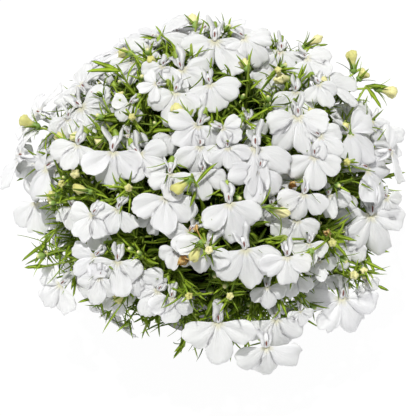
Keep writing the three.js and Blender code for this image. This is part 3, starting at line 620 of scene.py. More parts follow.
def back_bloom(throat, keys):
    facing = unit(mound_normal(throat) + LEVEL_UP * BACK_RISE)
    turn = math.radians(pick(*BACK_TURNS, *keys, 3))
    level = unit(np.cross(LEVEL_UP, facing))
    hang = level * math.sin(turn) - LEVEL_UP * math.cos(turn)
    width = pick(*BACK_WIDTHS, *keys, 4)
    return bloom_frame(throat, facing, hang, width, 4 if draw(*keys, 5) < FOUR_LOBES_CHANCE else 3)


def front_clusters():
    clusters = []
    for number, rows in enumerate(FRONT_CLUSTERS):
        blooms = [photo_bloom(*row) for row in rows]
        sight = unit(CAMERA - blooms[0]["throat"])
        settle(blooms, sight)
        clusters.append({"name": f"blooms_front_{number + 1:02d}", "blooms": blooms, "sight": sight})
    return clusters


def back_clusters(photographed):
    clusters = []
    for row, (latitude, first, last, count) in enumerate(BACK_ROWS):
        for place in range(count):
            out, beside = around(first + (last - first) * place / (count - 1))
            flip = 1 if place % 2 == 0 else -1
            blooms = []
            for member, (aside, above) in enumerate(BACK_TEMPLATE):
                keys = (row, place, member)
                throat = back_throat(out, beside, latitude, aside * flip, above, keys)
                gaps = [np.linalg.norm(other["throat"] - throat) for other in photographed]
                if member == 0 or min(gaps) >= BACK_NEAREST:
                    blooms.append(back_bloom(throat, keys))
            sight = blooms[0]["facing"].copy()
            settle(blooms, sight)
            name = f"blooms_back_{len(clusters) + 1:02d}"
            clusters.append({"name": name, "blooms": blooms, "sight": sight})
    return clusters


# The solids show which of several places was free: each form is looked up by its solid's corners


def corner_tree(*nodes):
    points = [vertex.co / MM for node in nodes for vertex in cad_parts[node].data.vertices]
    tree = KDTree(len(points))
    for index, point in enumerate(points):
        tree.insert(point, index)
    tree.balance()
    return tree


def found(tree, points):
    """Share of the points that are corners of the solid."""
    hits = [tree.find(Vector(point))[2] < CORNER_TOLERANCE for point in points]
    return sum(hits) / len(hits)


def lift_cluster(cluster):
    """Moves a cluster along its sight to where its solid is."""
    tree = corner_tree(cluster["name"])
    tips = []
    for bloom in cluster["blooms"]:
        lobes = bloom["lobes"]
        for angle, length in zip(LOBE_ANGLES[lobes], LOBE_LENGTHS[lobes]):
            half_end = LOBE_WIDTHS[lobes] / 2 * END_WIDTH
            for across in (-half_end, half_end):
                tips.append(in_lobe(bloom, angle, length * LOBE_END, across, -LOBE_RISE))
    shares = []
    for attempt in range(LIFT_TRIES):
        way = 1 if attempt % 2 == 1 else -1
        shift = cluster["sight"] * math.ceil(attempt / 2) * LIFT_STEP * way
        shares.append((found(tree, np.array(tips) + shift), -attempt, tuple(shift)))
    shift = max(shares)[2]
    for bloom in cluster["blooms"]:
        bloom["throat"] = bloom["throat"] + np.array(shift)


def main_stems():
    """The stems from the compost to their heads, with the corners of their solids."""
    stems = []
    for name, count, turn, root, way in STEM_ROWS:
        for index in range(count):
            out, _ = around(turn + 360 * index / count)
            foot = (root, COMPOST_TOP - STEM_HOLE_DEPTH + SEAT_GAP)
            collar = (root, COMPOST_TOP + COMPOST_CROWN + 1)
            path = [out * radius + LEVEL_UP * height for radius, height in (foot, collar, *way)]
            node = f"{name}_{index + 1}"
            stems.append({"name": node, "path": path, "tree": corner_tree(node), "limbs": []})
    return stems


def below_head(stem, distance):
    """Point on a stem's path, that far below its head."""
    path = stem["path"]
    left = distance
    for step in range(len(path) - 1, 1, -1):
        length = np.linalg.norm(path[step] - path[step - 1])
        if left < length:
            return path[step] + (path[step - 1] - path[step]) * left / length
        left -= length
    return path[1].copy()


def limb_points(stem, ending, key, attempt):
    """Way from a stem to a limb's ending: straight in the first attempts, then with a knee."""
    start = below_head(stem, LIMB_REACH * draw(key, attempt, 1))
    if attempt < STRAIGHT_TRIES:
        return [start, *ending]
    sway = LIMB_SWAY * (attempt - STRAIGHT_TRIES + 1)
    shift = [pick(-sway, sway, key, attempt, number) for number in (2, 3, 4)]
    knee = ending[0] + (start - ending[0]) * KNEE_SHARE + np.array(shift)
    return [start, knee, *ending]


def find_limb(stems, ending, end_radii, key, tries=LIMB_TRIES):
    """The limb that the solids have for this ending, or None."""
    joint = ending[0]
    near = sorted(stems, key=lambda stem: np.linalg.norm(stem["path"][-1] - joint))
    for stem in near[:NEAREST_STEMS]:
        if stem["tree"].find(Vector(joint))[2] > max(end_radii) + 0.1:
            continue
        for attempt in range(tries):
            points = limb_points(stem, ending, key, attempt)
            radii = [LIMB_RADIUS] * (len(points) - len(ending)) + list(end_radii)
            corners = tube(points, radii, LIMB_SIDES)[0]
            if found(stem["tree"], corners[LIMB_SIDES:]) > CORNER_SHARE:
                limb = {"stem": stem, "points": points, "key": key}
                stem["limbs"].append(limb)
                return limb
    return None


def calyx_points(bloom, length):
    """Foot and mouth of the calyx behind a bloom's tube."""
    mouth = bloom["throat"] + bloom["tube"] * (TUBE_LENGTH * bloom["width"] + CLEARANCE + 0.05)
    return [mouth + bloom["tube"] * length, mouth]


def find_calyx(stems, bloom, key):
    for length in CALYX_LENGTHS:
        limb = find_limb(stems, calyx_points(bloom, length), (LIMB_RADIUS, CALYX_RADIUS), key)
        if limb is not None:
            return limb
    return None


def find_bud(stems, row, key):
    base = on_mound(*row[-2:])
    sight = unit(CAMERA - base)
    tip = on_mound(*row[:2]) if len(row) == 4 else base + sight * BUD_LENGTH
    for lift in LIFTS:
        foot = base + sight * lift
        end = tip + sight * lift
        ending = [foot, foot + (end - foot) * 0.55, end]
        limb = find_limb(stems, ending, (LIMB_RADIUS, BUD_RADIUS, LIMB_RADIUS), key, LONE_TRIES)
        if limb is not None:
            return limb
    return None


def beside_in_picture(x, y, point):
    """Point on a pixel's ray as deep in the picture as another point."""
    depth = (point - CAMERA) @ FORWARD
    size = MM_PER_PIXEL * depth / VIEW_DISTANCE
    place = CAMERA + FORWARD * depth + RIGHT * (x - PICTURE_MIDDLE[0]) * size
    return place + UPWARD * (PICTURE_MIDDLE[1] - y) * size


def shoot_rows():
    rows = []
    for at, tips in SHOOTS:
        end = on_mound(*at)
        rows.append((end, [beside_in_picture(*tip, end) for tip in tips]))
    latitude, first, last, count, leaves = BACK_SHOOTS
    for shoot in range(count):
        out, beside = around(first + (last - first) * shoot / (count - 1))
        end = back_throat(out, beside, latitude, 0, 0, (shoot, 9))
        tips = []
        for leaf in range(leaves):
            way = mound_normal(end) + beside * (leaf - 1 + pick(-0.3, 0.3, shoot, leaf, 1))
            way[2] += pick(-0.8, 0.6, shoot, leaf, 2)
            tips.append(end + unit(way) * pick(LEAF_SHORTEST * 0.7, LEAF_SHORTEST, shoot, leaf, 3))
        rows.append((end, tips))
    return rows


def find_shoot(stems, end, tips, key):
    """A shoot of the solids with the tips of its leaves, or None."""
    sight = unit(CAMERA - end)
    for lift in LIFTS:
        place = end + sight * lift
        limb = find_limb(stems, [place], (LIMB_RADIUS,), key, LONE_TRIES)
        if limb is not None:
            limb["tips"] = [place + tip - end for tip in tips]
            return limb
    return None


# What only this model has: half-hidden blooms on pedicels of the nearest stems, and withered petals


def filling_blooms(blooms):
    """Blooms sunk into the mound, and others round it where there is room."""
    made = []
    for *row, sunk in FILL_PHOTO:
        bloom = photo_bloom(*row)
        bloom["throat"] = bloom["throat"] - bloom["facing"] * sunk
        made.append(bloom)
    for row, (latitude, first, last, count) in enumerate(FILL_ROWS):
        for place in range(count):
            out, beside = around(first + (last - first) * place / (count - 1))
            throat = back_throat(out, beside, latitude, 0, 0, (FILL_KEY + row, place))
            gaps = [np.linalg.norm(bloom["throat"] - throat) for bloom in blooms]
            if min(gaps) > FILL_NEAREST:
                made.append(back_bloom(throat, (FILL_KEY + row, place)))
    return made


def hold(stems, bloom, key):
    """Gives a filling bloom its pedicel."""
    ending = calyx_points(bloom, CALYX_LENGTHS[0])
    stem = min(stems, key=lambda row: np.linalg.norm(row["path"][-1] - ending[0]))
    start = below_head(stem, LIMB_REACH * draw(key, 1) / 2)
    knee = ending[0] + (start - ending[0]) * KNEE_SHARE - LEVEL_UP * 2
    stem["limbs"].append({"stem": stem, "points": [start, knee, *ending], "key": key})


def withered_spots(stems):
    """Withered petals by the name of their stem: the point each hangs from, and its own place."""
    rows = {}
    for x, y in WITHERED:
        spot = on_mound(x, y)
        spot = spot - unit(CAMERA - spot) * 2
        limbs = [limb for stem in stems for limb in stem["limbs"]]
        limb = min(limbs, key=lambda row: min(np.linalg.norm(point - spot) for point in row["points"]))
        root = min(limb["points"], key=lambda point: np.linalg.norm(point - spot))
        rows.setdefault(limb["stem"]["name"], []).append((root, spot))
    return rows


# Building pieces: each gathers closed bodies in millimetres, with a pair of marks for each corner


class Piece:
    """Closed bodies that become one object, with marks, a tone and a look (number of a material)."""

    def __init__(self):
        self.points = []
        self.faces = []
        self.marks = []
        self.tones = []
        self.looks = []
        self.count = 0

    def add(self, points, faces, marks, tone=0.5, look=0):
        points = np.asarray(points, dtype=float)
        self.points.append(points)
        self.faces.extend(tuple(int(corner) + self.count for corner in face) for face in faces)
        self.marks.append(np.asarray(marks, dtype=float))
        self.tones.extend([tone] * len(points))
        self.looks.extend([look] * len(faces))
        self.count += len(points)

    def bare_mesh(self, name):
        mesh = bpy.data.meshes.new(name)
        mesh.from_pydata((np.concatenate(self.points) * MM).tolist(), [], self.faces)
        return mesh

    def make(self, name, materials, slot, nodes=()):
        mesh = self.bare_mesh(name)
        layer = mesh.uv_layers.new(name="shape")
        corners = np.empty(len(mesh.loops), dtype=np.int32)
        mesh.loops.foreach_get("vertex_index", corners)
        layer.data.foreach_set("uv", np.concatenate(self.marks)[corners].ravel())
        tone = mesh.attributes.new("tone", "FLOAT", "POINT")
        tone.data.foreach_set("value", self.tones)
        mesh.polygons.foreach_set("material_index", self.looks)
        mesh.polygons.foreach_set("use_smooth", [True] * len(mesh.polygons))
        for material in materials:
            mesh.materials.append(material)
        mesh.update()
        obj = new_object(name, mesh)
        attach(obj, "root")
        if nodes:
            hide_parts(*nodes)
        return obj


def new_object(name, data):
    obj = bpy.data.objects.new(name, data)
    bpy.context.scene.collection.objects.link(obj)
    return obj


def shifted(faces, count):
    return [tuple(corner + count for corner in face) for face in faces]


def turned(faces):
    """The same faces seen from their other side."""
    return [tuple(reversed(face)) for face in faces]


def quads(rows, columns, wrap=False):
    """Faces of a grid of rows by columns of corners, closed round its columns if wrap is true."""
    faces = []
    last = columns if wrap else columns - 1
    for row in range(rows - 1):
        for column in range(last):
            after = (column + 1) % columns
            lower = row * columns
            upper = lower + columns
            faces.append((lower + column, lower + after, upper + after, upper + column))
    return faces


def weld(points, faces, marks, tolerance=1e-3):
    """Joins corners that are in the same place, and drops the faces that this closes up."""
    keys = {}
    index = []
    kept = []
    for number, point in enumerate(points):
        key = tuple(np.round(point / tolerance).astype(int))
        if key not in keys:
            keys[key] = len(kept)
            kept.append(number)
        index.append(keys[key])
    joined = []
    for face in faces:
        corners = []
        for corner in face:
            if index[corner] not in corners:
                corners.append(index[corner])
        if len(corners) > 2:
            joined.append(tuple(corners))
    return points[kept], joined, marks[kept]


def corner_normals(points, faces):
    """Mean normal at each corner, by the size of the faces round it."""
    normals = np.zeros_like(points)
    for face in faces:
        a, b, c = points[face[0]], points[face[1]], points[face[2]]
        normal = np.cross(b - a, c - a)
        if len(face) > 3:
            normal = normal + np.cross(c - a, points[face[3]] - a)
        for corner in face:
            normals[corner] += normal
    lengths = np.linalg.norm(normals, axis=1, keepdims=True)
    return normals / np.maximum(lengths, 1e-12)


def thicken(points, faces, marks, thickness):
    """A thin closed body from an open sheet."""
    normals = corner_normals(points, faces)
    count = len(points)
    both = np.concatenate([points + normals * thickness / 2, points - normals * thickness / 2])
    closed = list(faces) + shifted(turned(faces), count)
    edges = {}
    for face in faces:
        for number, corner in enumerate(face):
            edges[(corner, face[(number + 1) % len(face)])] = True
    for corner, after in edges:
        if (after, corner) not in edges:
            closed.append((after, corner, corner + count, after + count))
    return both, closed, np.concatenate([marks, marks])


def curve_through(points, steps):
    """Smooth curve through points, with that many steps between each two."""
    points = [np.asarray(point, dtype=float) for point in points]
    ends = [2 * points[0] - points[1], *points, 2 * points[-1] - points[-2]]
    curve = []
    for index in range(1, len(ends) - 2):
        p0, p1, p2, p3 = ends[index - 1: index + 3]
        for step in range(steps):
            t = step / steps
            linear = 2 * p1 + (p2 - p0) * t
            square = (2 * p0 - 5 * p1 + 4 * p2 - p3) * t * t
            curve.append(0.5 * (linear + square + (3 * p1 - p0 - 3 * p2 + p3) * t ** 3))
    curve.append(points[-1])
    return np.array(curve)


def directions(points):
    """Way of a row of points at each of them."""
    ways = np.gradient(points, axis=0)
    return ways / np.linalg.norm(ways, axis=1, keepdims=True)


def square_to(way):
    """A direction at right angles to another."""
    return unit(np.cross(way, RIGHT if abs(way[2]) > 0.8 else LEVEL_UP))


def tube(points, radii, sides):
    """Round closed body along a row of points, with turn and length as marks."""
    points = np.asarray(points)
    radii = np.broadcast_to(radii, len(points))
    ways = directions(points)
    normal = square_to(ways[0])
    turns = 2 * np.pi * np.arange(sides) / sides
    rings = []
    marks = []
    for index, way in enumerate(ways):
        normal = unit(normal - way * (normal @ way))
        other = np.cross(way, normal)
        circle = np.multiply.outer(np.cos(turns), normal) + np.multiply.outer(np.sin(turns), other)
        rings.append(points[index] + radii[index] * circle)
        share = index / (len(points) - 1)
        marks.append(np.stack([np.arange(sides) / sides, np.full(sides, share)], axis=1))
    faces = quads(len(points), sides, wrap=True)
    last = (len(points) - 1) * sides
    faces.append(tuple(reversed(range(sides))))
    faces.append(tuple(range(last, last + sides)))
    return np.concatenate(rings), faces, np.concatenate(marks)


def blade(points, across, widths, thickness, fold):
    """Narrow closed leaf along a row of points: four corners a row, folded up from its midrib."""
    points = np.asarray(points)
    corners = []
    marks = []
    for index, way in enumerate(directions(points)):
        level = unit(across - way * (across @ way))
        face = np.cross(way, level)
        half = widths[index] / 2
        edge = face * half * fold
        share = index / (len(points) - 1)
        thick = face * thickness / 2 * (1 - 0.6 * share)
        corners += [points[index] - level * half + edge, points[index] - thick,
                    points[index] + level * half + edge, points[index] + thick]
        marks += [(0, share), (0.5, share), (1, share), (0.5, share)]
    last = (len(points) - 1) * 4
    faces = quads(len(points), 4, wrap=True)
    faces.append((3, 2, 1, 0))
    faces.append((last, last + 1, last + 2, last + 3))
    return np.array(corners), faces, np.array(marks)


# Petals. On a lobe, u goes from the throat (0) to the end (1) and v across it (-1 to 1). Its own
# share is 0 near the throat, where it is joined to its neighbours, and 1 where it stands free.


def lobe_bounds(angles):
    """Angles halfway between the lobes of a lip, and at its two ends."""
    between = (angles[0] - angles[1]) / 2
    middles = [(before + after) / 2 for before, after in zip(angles, angles[1:])]
    return [angles[0] + between, *middles, angles[-1] - between]


def lobe_reach(u, v, key):
    """How far out the end of a lobe stands: fine teeth, broad swells and a notch."""
    columns = range(LOBE_COLUMNS + 1)
    places = range(0, LOBE_COLUMNS + SWELL_COLUMNS, SWELL_COLUMNS)
    swells = [pick(-1, 1, key, 40 + number) for number in range(len(places))]
    teeth = np.array([pick(-0.5, 0.5, key, 20 + column) for column in columns])
    teeth = teeth + np.interp(columns, places, swells)
    notch = pick(*NOTCH_DEPTH, key, 10) * bell(v, pick(*NOTCH_PLACE, key, 13), NOTCH_WIDTH)
    return 1 + (EDGE_TEETH * teeth - notch) * smooth(0.55, 1, u)


def lobe_height(u, v, own, flip, key):
    """Height of a lobe over the plane of the lip."""
    curl = pick(*LOBE_CURL, key, 3) * u ** 3
    hinge = pick(*LOBE_HINGE, key, 12) * (u - WEB_SHARE)
    cup = pick(*LOBE_CUP, key, 4) * v * v * u
    tilt = pick(*LOBE_TILT, key, 5) * flip * v * u
    phase = pick(0, 1, key, 9)
    ripple = BROAD_WAVE * u ** 2 * np.sin(2 * np.pi * (0.9 * v + phase + 0.3 * u))
    ripple += FINE_WAVE * u ** 3 * np.sin(2 * np.pi * (2.6 * v + phase * 7))
    crease = pick(*CREASE_DEPTH, key, 8) * bell(v, 0, CREASE_WIDTH)
    crease = crease * smooth(0.12, 0.3, u) * (1 - smooth(0.6, 0.95, u))
    puff = PUFF_HEIGHT * bell(np.abs(v), 0.4, 0.22) * smooth(0.2, 0.5, u) * (1 - smooth(0.6, 1, u))
    arch = LOBE_RISE * np.sin(np.pi * np.minimum(u * 0.92, 1))
    free = arch - curl + hinge - cup + tilt + ripple - crease + puff
    joined = LOBE_RISE * np.sin(np.pi * np.minimum(u / 1.2, 1)) - 0.012 * v * v * smooth(0.1, 0.3, u)
    return (1 - own) * (joined - crease * (1 - v * v)) + own * free


def palate(u, v):
    """The two low bumps of a middle lobe before the throat."""
    return PALATE_HEIGHT * bell(np.abs(v), 0.42, 0.24) * bell(u, 0.26, 0.1) * (1 - v ** 4)


def lip_lobe(bloom, index, key):
    """One lobe of the lip, joined to its neighbours near the throat and round at its end."""
    lobes = bloom["lobes"]
    bounds = lobe_bounds(LOBE_ANGLES[lobes])
    angle = LOBE_ANGLES[lobes][index] + pick(*LOBE_TURNS, key, 11)
    length = LOBE_LENGTHS[lobes][index] * pick(*LOBE_STRETCH, key, 1)
    half = LOBE_WIDTHS[lobes] / 2 * pick(*LOBE_BROADEN, key, 2)
    sway = pick(*LOBE_SWAY, key, 7)
    # The lobes of a bloom tilt the same way, which its place in the mound decides
    flip = 1 if draw(int(bloom["throat"][0] * 10) + TILT_KEY, 6) < 0.5 else -1
    steps = np.linspace(LIP_START, 1, LOBE_ROWS + 1) ** 0.9
    v, u = np.meshgrid(np.linspace(-1, 1, LOBE_COLUMNS + 1), steps)
    own = smooth(WEB_SHARE, WEB_SHARE + 0.2, u)
    reach = lobe_reach(u, v, key)
    turn = v * ROUND_TURN
    out = length * (ROUND_CENTRE + (1 - ROUND_CENTRE) * np.cos(turn)) * reach * u
    across = half * np.sin(turn) * reach * np.sin(np.pi / 2 * u) ** LOBE_WEDGE + sway * u * u * length
    fan = np.radians(bounds[index] + (bounds[index + 1] - bounds[index]) * (v + 1) / 2)
    web = u * WEB_RADIUS
    radius = u * (length * (1 - v * v) + WEB_RADIUS * v * v)
    radius = np.where(u < WEB_SHARE, web + (radius - web) * smooth(0.2, 0.4, u), radius)
    theta = math.radians(angle)
    side = (1 - own) * np.sin(fan) * radius + own * (np.sin(theta) * out - np.cos(theta) * across)
    lip = (1 - own) * np.cos(fan) * radius + own * (np.cos(theta) * out + np.sin(theta) * across)
    height = lobe_height(u, v, own, flip, key)
    if abs(angle) < MIDDLE_LOBE_TURN:
        height = height + palate(u, v)
    points = in_bloom(bloom, side.ravel(), lip.ravel(), height.ravel())
    marks = np.stack([(v.ravel() + 1) / 2, u.ravel()], axis=1)
    return points, quads(LOBE_ROWS + 1, LOBE_COLUMNS + 1), marks


def add_lip(piece, bloom, key):
    """The lip: its lobes welded to one sheet, which is then made thick."""
    sheet = Piece()
    for index in range(bloom["lobes"]):
        sheet.add(*lip_lobe(bloom, index, key * 8 + index))
    welded = weld(np.concatenate(sheet.points), sheet.faces, np.concatenate(sheet.marks))
    piece.add(*thicken(*welded, PETAL_THICKNESS), draw(key, 3))


def add_upper_lobes(piece, bloom, key):
    """The two small upper lobes that stand up either side of the tube's slit."""
    width = bloom["width"]
    rows = len(UPPER_WIDTHS)
    for way in (-1, 1):
        lean = pick(*UPPER_LEAN, key, way + 31) ** 2 * 0.9
        length = UPPER_LENGTH * pick(*UPPER_STRETCH, key, way + 33)
        back = pick(*UPPER_BACK, key, way + 35)
        twist = pick(*UPPER_TWIST, key, way + 37)
        crumple = pick(0.0, 1.0, key, way + 41)
        spine = []
        for row in range(rows):
            share = row / (rows - 1)
            sideways = 0.034 + 0.018 * share + lean * length * share ** 1.5
            sideways += 0.018 * math.sin(7 * share + 6 * crumple)
            height = 0.035 + 0.03 * math.sin(5 * share + 9 * crumple) - back * length * share ** 2
            spine.append(in_bloom(bloom, sideways * way, -0.02 - length * share, height))
        broad = width * pick(*UPPER_BROAD, key, way + 43)
        widths = [broad * value for value in UPPER_WIDTHS]
        across = bloom["side"] + bloom["facing"] * twist * way
        points, faces, marks = blade(spine, across, widths, UPPER_THICKNESS, UPPER_FOLD * way)
        marks = np.stack([marks[:, 0], 0.35 + 0.6 * marks[:, 1]], axis=1)
        piece.add(points, faces, marks, draw(key, way + 39))


def add_tube(piece, bloom):
    """The tube behind the throat, which opens above the lip and has a groove along its upper side."""
    width = bloom["width"]
    below = unit(bloom["lip"] - bloom["tube"] * (bloom["lip"] @ bloom["tube"]))
    mouth = in_bloom(bloom, 0.0, -TUBE_OPENING, 0.012)
    end = bloom["throat"] + bloom["tube"] * TUBE_LENGTH * width
    points = []
    marks = []
    for ring in range(TUBE_RINGS + 1):
        share = ring / TUBE_RINGS
        bow = TUBE_BOW * width * math.sin(math.pi * share)
        centre = mouth + (end - mouth) * share - bloom["lip"] * bow
        down = unit(bloom["lip"] * (1 - share) + below * share)
        radius = width * (TUBE_END + 0.018 - 0.012 * share)
        for corner in range(TUBE_SIDES):
            turn = 2 * math.pi * corner / TUBE_SIDES
            groove = 1 - GROOVE_DEPTH * bell(math.cos(turn), -1, GROOVE_WIDTH) * (1 - share) ** 0.5
            groove *= 0.72 + 0.28 * smooth(0, 0.4, share)
            aside = bloom["side"] * math.sin(turn) + down * math.cos(turn)
            hood = bloom["facing"] * width * (0.01 - 0.03 * (math.cos(turn) + 0.3)) * (1 - share) ** 3
            points.append(centre + aside * radius * groove + hood)
            marks.append((0.5 + 0.5 * math.cos(turn), 0.3 + 0.3 * share))
    faces = turned(quads(TUBE_RINGS + 1, TUBE_SIDES, wrap=True))
    piece.add(*thicken(np.array(points), faces, np.array(marks), TUBE_THICKNESS))


def add_anthers(piece, bloom, key):
    """The white column of joined anthers in the tube's opening, with a thin dark streak on it."""
    width = bloom["width"]
    tilt = pick(*STREAK_TILT, key, 51)
    spots = (
        (0.0, -0.24, -0.13),
        (tilt * 0.2, -0.15, -0.03),
        (tilt * 0.6, -0.07, 0.012),
        (tilt, 0.02, 0.006),
    )
    curve = curve_through([in_bloom(bloom, *spot) for spot in spots], 4)
    share = np.linspace(0, 1, len(curve))
    radii = width * ANTHER_RADIUS * np.sqrt(np.clip(1 - (2 * share - 1) ** 4, 0.04, 1))
    points, faces, marks = tube(curve, radii, 8)
    marks = np.stack([marks[:, 0], 0.25 + 0.3 * marks[:, 1]], axis=1)
    piece.add(points, faces, marks)
    streak = curve[5:-2] + bloom["facing"] * width * STREAK_OUT
    share = np.linspace(0, 1, len(streak))
    radii = width * STREAK_RADIUS * np.sqrt(np.clip(1 - (2 * share - 1) ** 2, 0.05, 1))
    piece.add(*tube(streak, radii, 6), draw(key, 52), ANTHER_LOOK)


def bloom_piece(blooms, first_key):
    """All the parts of a row of blooms."""
    piece = Piece()
    for member, bloom in enumerate(blooms):
        key = LOOK_KEY + (first_key + member) * 10
        add_lip(piece, bloom, key)
        add_upper_lobes(piece, bloom, key)
        add_tube(piece, bloom)
        add_anthers(piece, bloom, key)
    return piece


# Green parts. Branches and leaves keep clear of petals, the tree of the petals' faces.


def add_sepals(piece, mouth, way, length, spread, key):
    """Narrow sepals that stand out from a green cup."""
    helper = unit(np.cross(way, LEVEL_UP + RIGHT * 0.3))
    other = np.cross(way, helper)
    for number in range(SEPALS):
        turn = 2 * math.pi * (number + pick(-0.15, 0.15, key, number + 61)) / SEPALS
        out = helper * math.cos(turn) + other * math.sin(turn)
        lean = spread * pick(*SEPAL_LEAN, key, number + 67)
        reach = length * pick(*SEPAL_STRETCH, key, number + 73)
        path = []
        for share in SEPAL_SHARES:
            aside = 1.1 + reach * share * lean * (1 + 0.35 * share)
            along = reach * share * (1 - 0.25 * lean * share) - 0.9
            path.append(mouth + out * aside + way * along)
        leaf = blade(path, np.cross(way, out), SEPAL_WIDTHS, SEPAL_THICKNESS, 0.2)
        piece.add(*leaf, draw(key, number + 79))


def add_calyx(piece, limb, key):
    """The pedicel and green cup behind a bloom's tube."""
    curve = curve_through(limb["points"], CUP_STEPS)
    steps = np.linspace(0, 1, len(curve))
    radii = STALK_RADIUS + 0.1 * np.abs(2 * steps - 1)
    widening = smooth(0, 1, np.linspace(0, 1, CUP_STEPS + 1))
    radii[-len(widening):] = LIMB_RADIUS + (CUP_RADIUS - LIMB_RADIUS) * widening
    piece.add(*tube(curve, radii, CUP_SIDES), draw(key, 85), STEM_LOOK)
    add_sepals(piece, curve[-1], unit(curve[-1] - curve[-3]), *CALYX_SEPALS, key)


def add_bud(piece, limb, key):
    """A closed bud: green cup, sepals and the pale furled petals."""
    foot, _, end = limb["points"][-3:]
    way = unit(end - foot)
    length = min(np.linalg.norm(end - foot), BUD_LONGEST)
    foot = end - way * length
    stalk = curve_through([*limb["points"][:-3], foot - way * 0.5, foot], 6)
    piece.add(*tube(stalk, STALK_RADIUS, STALK_SIDES), draw(key, 86), STEM_LOOK)
    axis = end - foot
    plump = pick(*BUD_PLUMPNESS, key, 83)
    if len(BUDS[limb["key"] - BUD_KEY]) == 2:
        plump *= FACING_BUD_SHARE
    curve = foot + np.multiply.outer(BUD_SHARES, axis)
    points, faces, marks = tube(curve, np.array(BUD_PROFILE) * plump, BUD_SIDES)
    centres = np.repeat(curve, BUD_SIDES, axis=0)
    folds = marks[:, 0] * BUD_FOLDS
    furl = np.cos((folds + marks[:, 1] * pick(*BUD_TWIST, key, 88)) * 2 * math.pi)
    crumple = np.array([pick(-1, 1, key * 400 + number, 84) for number in range(len(points))])
    furl = BUD_FURL * furl * pick(0.7, 1.3, key, 89)
    swell = 1 + (furl + BUD_CRUMPLE * crumple) * smooth(0.4, 0.8, marks[:, 1])
    points = centres + (points - centres) * swell[:, None]
    tips = [pick(*BUD_TIPS, key, 110 + number) for number in range(BUD_FOLDS)]
    uneven = np.interp(folds, range(BUD_FOLDS + 1), [*tips, tips[0]]) * smooth(0.45, 0.85, marks[:, 1])
    points = points + np.multiply.outer(uneven, axis)
    piece.add(points, faces, marks, draw(key, 87), BUD_LOOK)
    add_sepals(piece, foot + way * 1.6, way, *BUD_SEPALS, key)


def add_young_bud(piece, foot, way, key):
    """A small green bud among its sepals."""
    size = pick(*YOUNG_SIZES, key, 101)
    heights = np.array(YOUNG_SHARES) * YOUNG_LENGTH * size
    radii = np.array(YOUNG_PROFILE) * size
    points, faces, marks = tube(foot + np.multiply.outer(heights, way), radii, CUP_SIDES)
    marks = marks * GREEN_PART
    piece.add(points, faces, marks, pick(0.5, 1, key, 102), BUD_LOOK)
    length, spread = YOUNG_SEPALS
    add_sepals(piece, foot + way * 1.2, way, length * size, spread, key)


def add_leaf(piece, root, way, length, width, across, key, droop):
    """A narrow leaf that bends as it goes, with a few shallow teeth. Deep in the mound it is wider
    and gets a darker tone, which is painted shade."""
    level = unit(across - way * (across @ way))
    face = np.cross(level, way)
    bend = pick(*LEAF_BEND, key, 91) * droop
    sway = pick(*LEAF_SWAY, key, 90) * droop
    path = []
    aside = (face * bend + level * sway - LEVEL_UP * 0.1) * length
    for share in LEAF_SHARES:
        path.append(root + way * length * share * (1 - 0.12 * share) + aside * share ** 2)
    tooth = LEAF_TOOTH * draw(key, 92)
    # How far out of the mound the leaf is: it sets the width, and the painted shade that makes leaves
    # deep inside darker
    light = smooth(0.6, 1.0, mound_share(root + way * length / 2))
    profile = np.array((0.35, 0.7, 1.0 + tooth, 0.95 - tooth, 0.6 + tooth, 0.05))
    widths = profile * width * (2.5 - 1.5 * light)
    leaf = blade(path, level, widths, LEAF_THICKNESS, pick(*LEAF_FOLD, key, 93))
    piece.add(*leaf, light * pick(0.45, 1.0, key, 94))


def petal_tree(clusters, extra):
    """Faces of all the petals' solids and of one more piece, which leaves and branches keep clear of."""
    points = [Vector(point) for point in np.concatenate(extra.points)]
    faces = list(extra.faces)
    for cluster in clusters:
        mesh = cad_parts[cluster["name"]].data
        count = len(points)
        points += [vertex.co / MM for vertex in mesh.vertices]
        faces += shifted([polygon.vertices for polygon in mesh.polygons], count)
    return BVHTree.FromPolygons(points, faces)


def blocked(*path):
    """Whether a petal is in the way between any two points that follow each other."""
    for start, end in zip(path, path[1:]):
        way = Vector(end - start)
        if petals.ray_cast(Vector(start), way.normalized(), way.length)[0] is not None:
            return True
    return False


def in_pot(point):
    """Whether a point is in the pot's wall or in the compost, or too near them."""
    height = point[2]
    if height > POT_HEIGHT + 1:
        return False
    radius = math.hypot(point[0], point[1])
    outer = wall_radius(height) + RIM_BAND_OUT + POT_BERTH
    inner = wall_radius(height) - POT_WALL - POT_BERTH
    if height < COMPOST_TOP + 1.5:
        return radius < outer
    return inner < radius < outer


def leaves_along(piece, curve, kind, key):
    """Alternate leaves up a shoot, a golden turn apart, where neither petals nor pot are in the way."""
    spacing, shortest, longest, bare, limit = LEAVES[kind]
    lengths = np.linalg.norm(np.diff(curve, axis=0), axis=1)
    total = lengths.sum()
    count = int(total / spacing)
    stations = np.concatenate([[0], np.cumsum(lengths)])
    for number in range(count):
        distance = total * bare + (total * (1 - bare)) * (number + 0.5) / count
        index = min(int(np.searchsorted(stations, distance)), len(curve) - 1)
        before = curve[index - 1]
        share = (distance - stations[index - 1]) / max(lengths[index - 1], 1e-6)
        root = before + (curve[index] - before) * share
        axis = unit(curve[index] - before)
        out = outward(axis, number, draw(key, 95))
        own = key * 64 + number
        way = unit(axis * pick(0.35, 0.9, own, 96) + out + LEVEL_UP * 0.25)
        length = pick(shortest, longest, own, 97)
        for _ in range(LEAF_TRIES):
            tip = root + way * length
            dry = not in_pot(tip) and not in_pot(root + way * length / 2)
            if dry and mound_share(tip) < limit and not blocked(root + way * 0.6, tip + way):
                width = length * pick(*LEAF_SLIM, own, 98) + 0.3
                across = np.cross(axis, out)
                add_leaf(piece, root - way * 0.2, way, length, width, across, own, LEAF_DROOP)
                break
            length *= LEAF_SHRINK
            if length < LEAF_LEAST:
                break


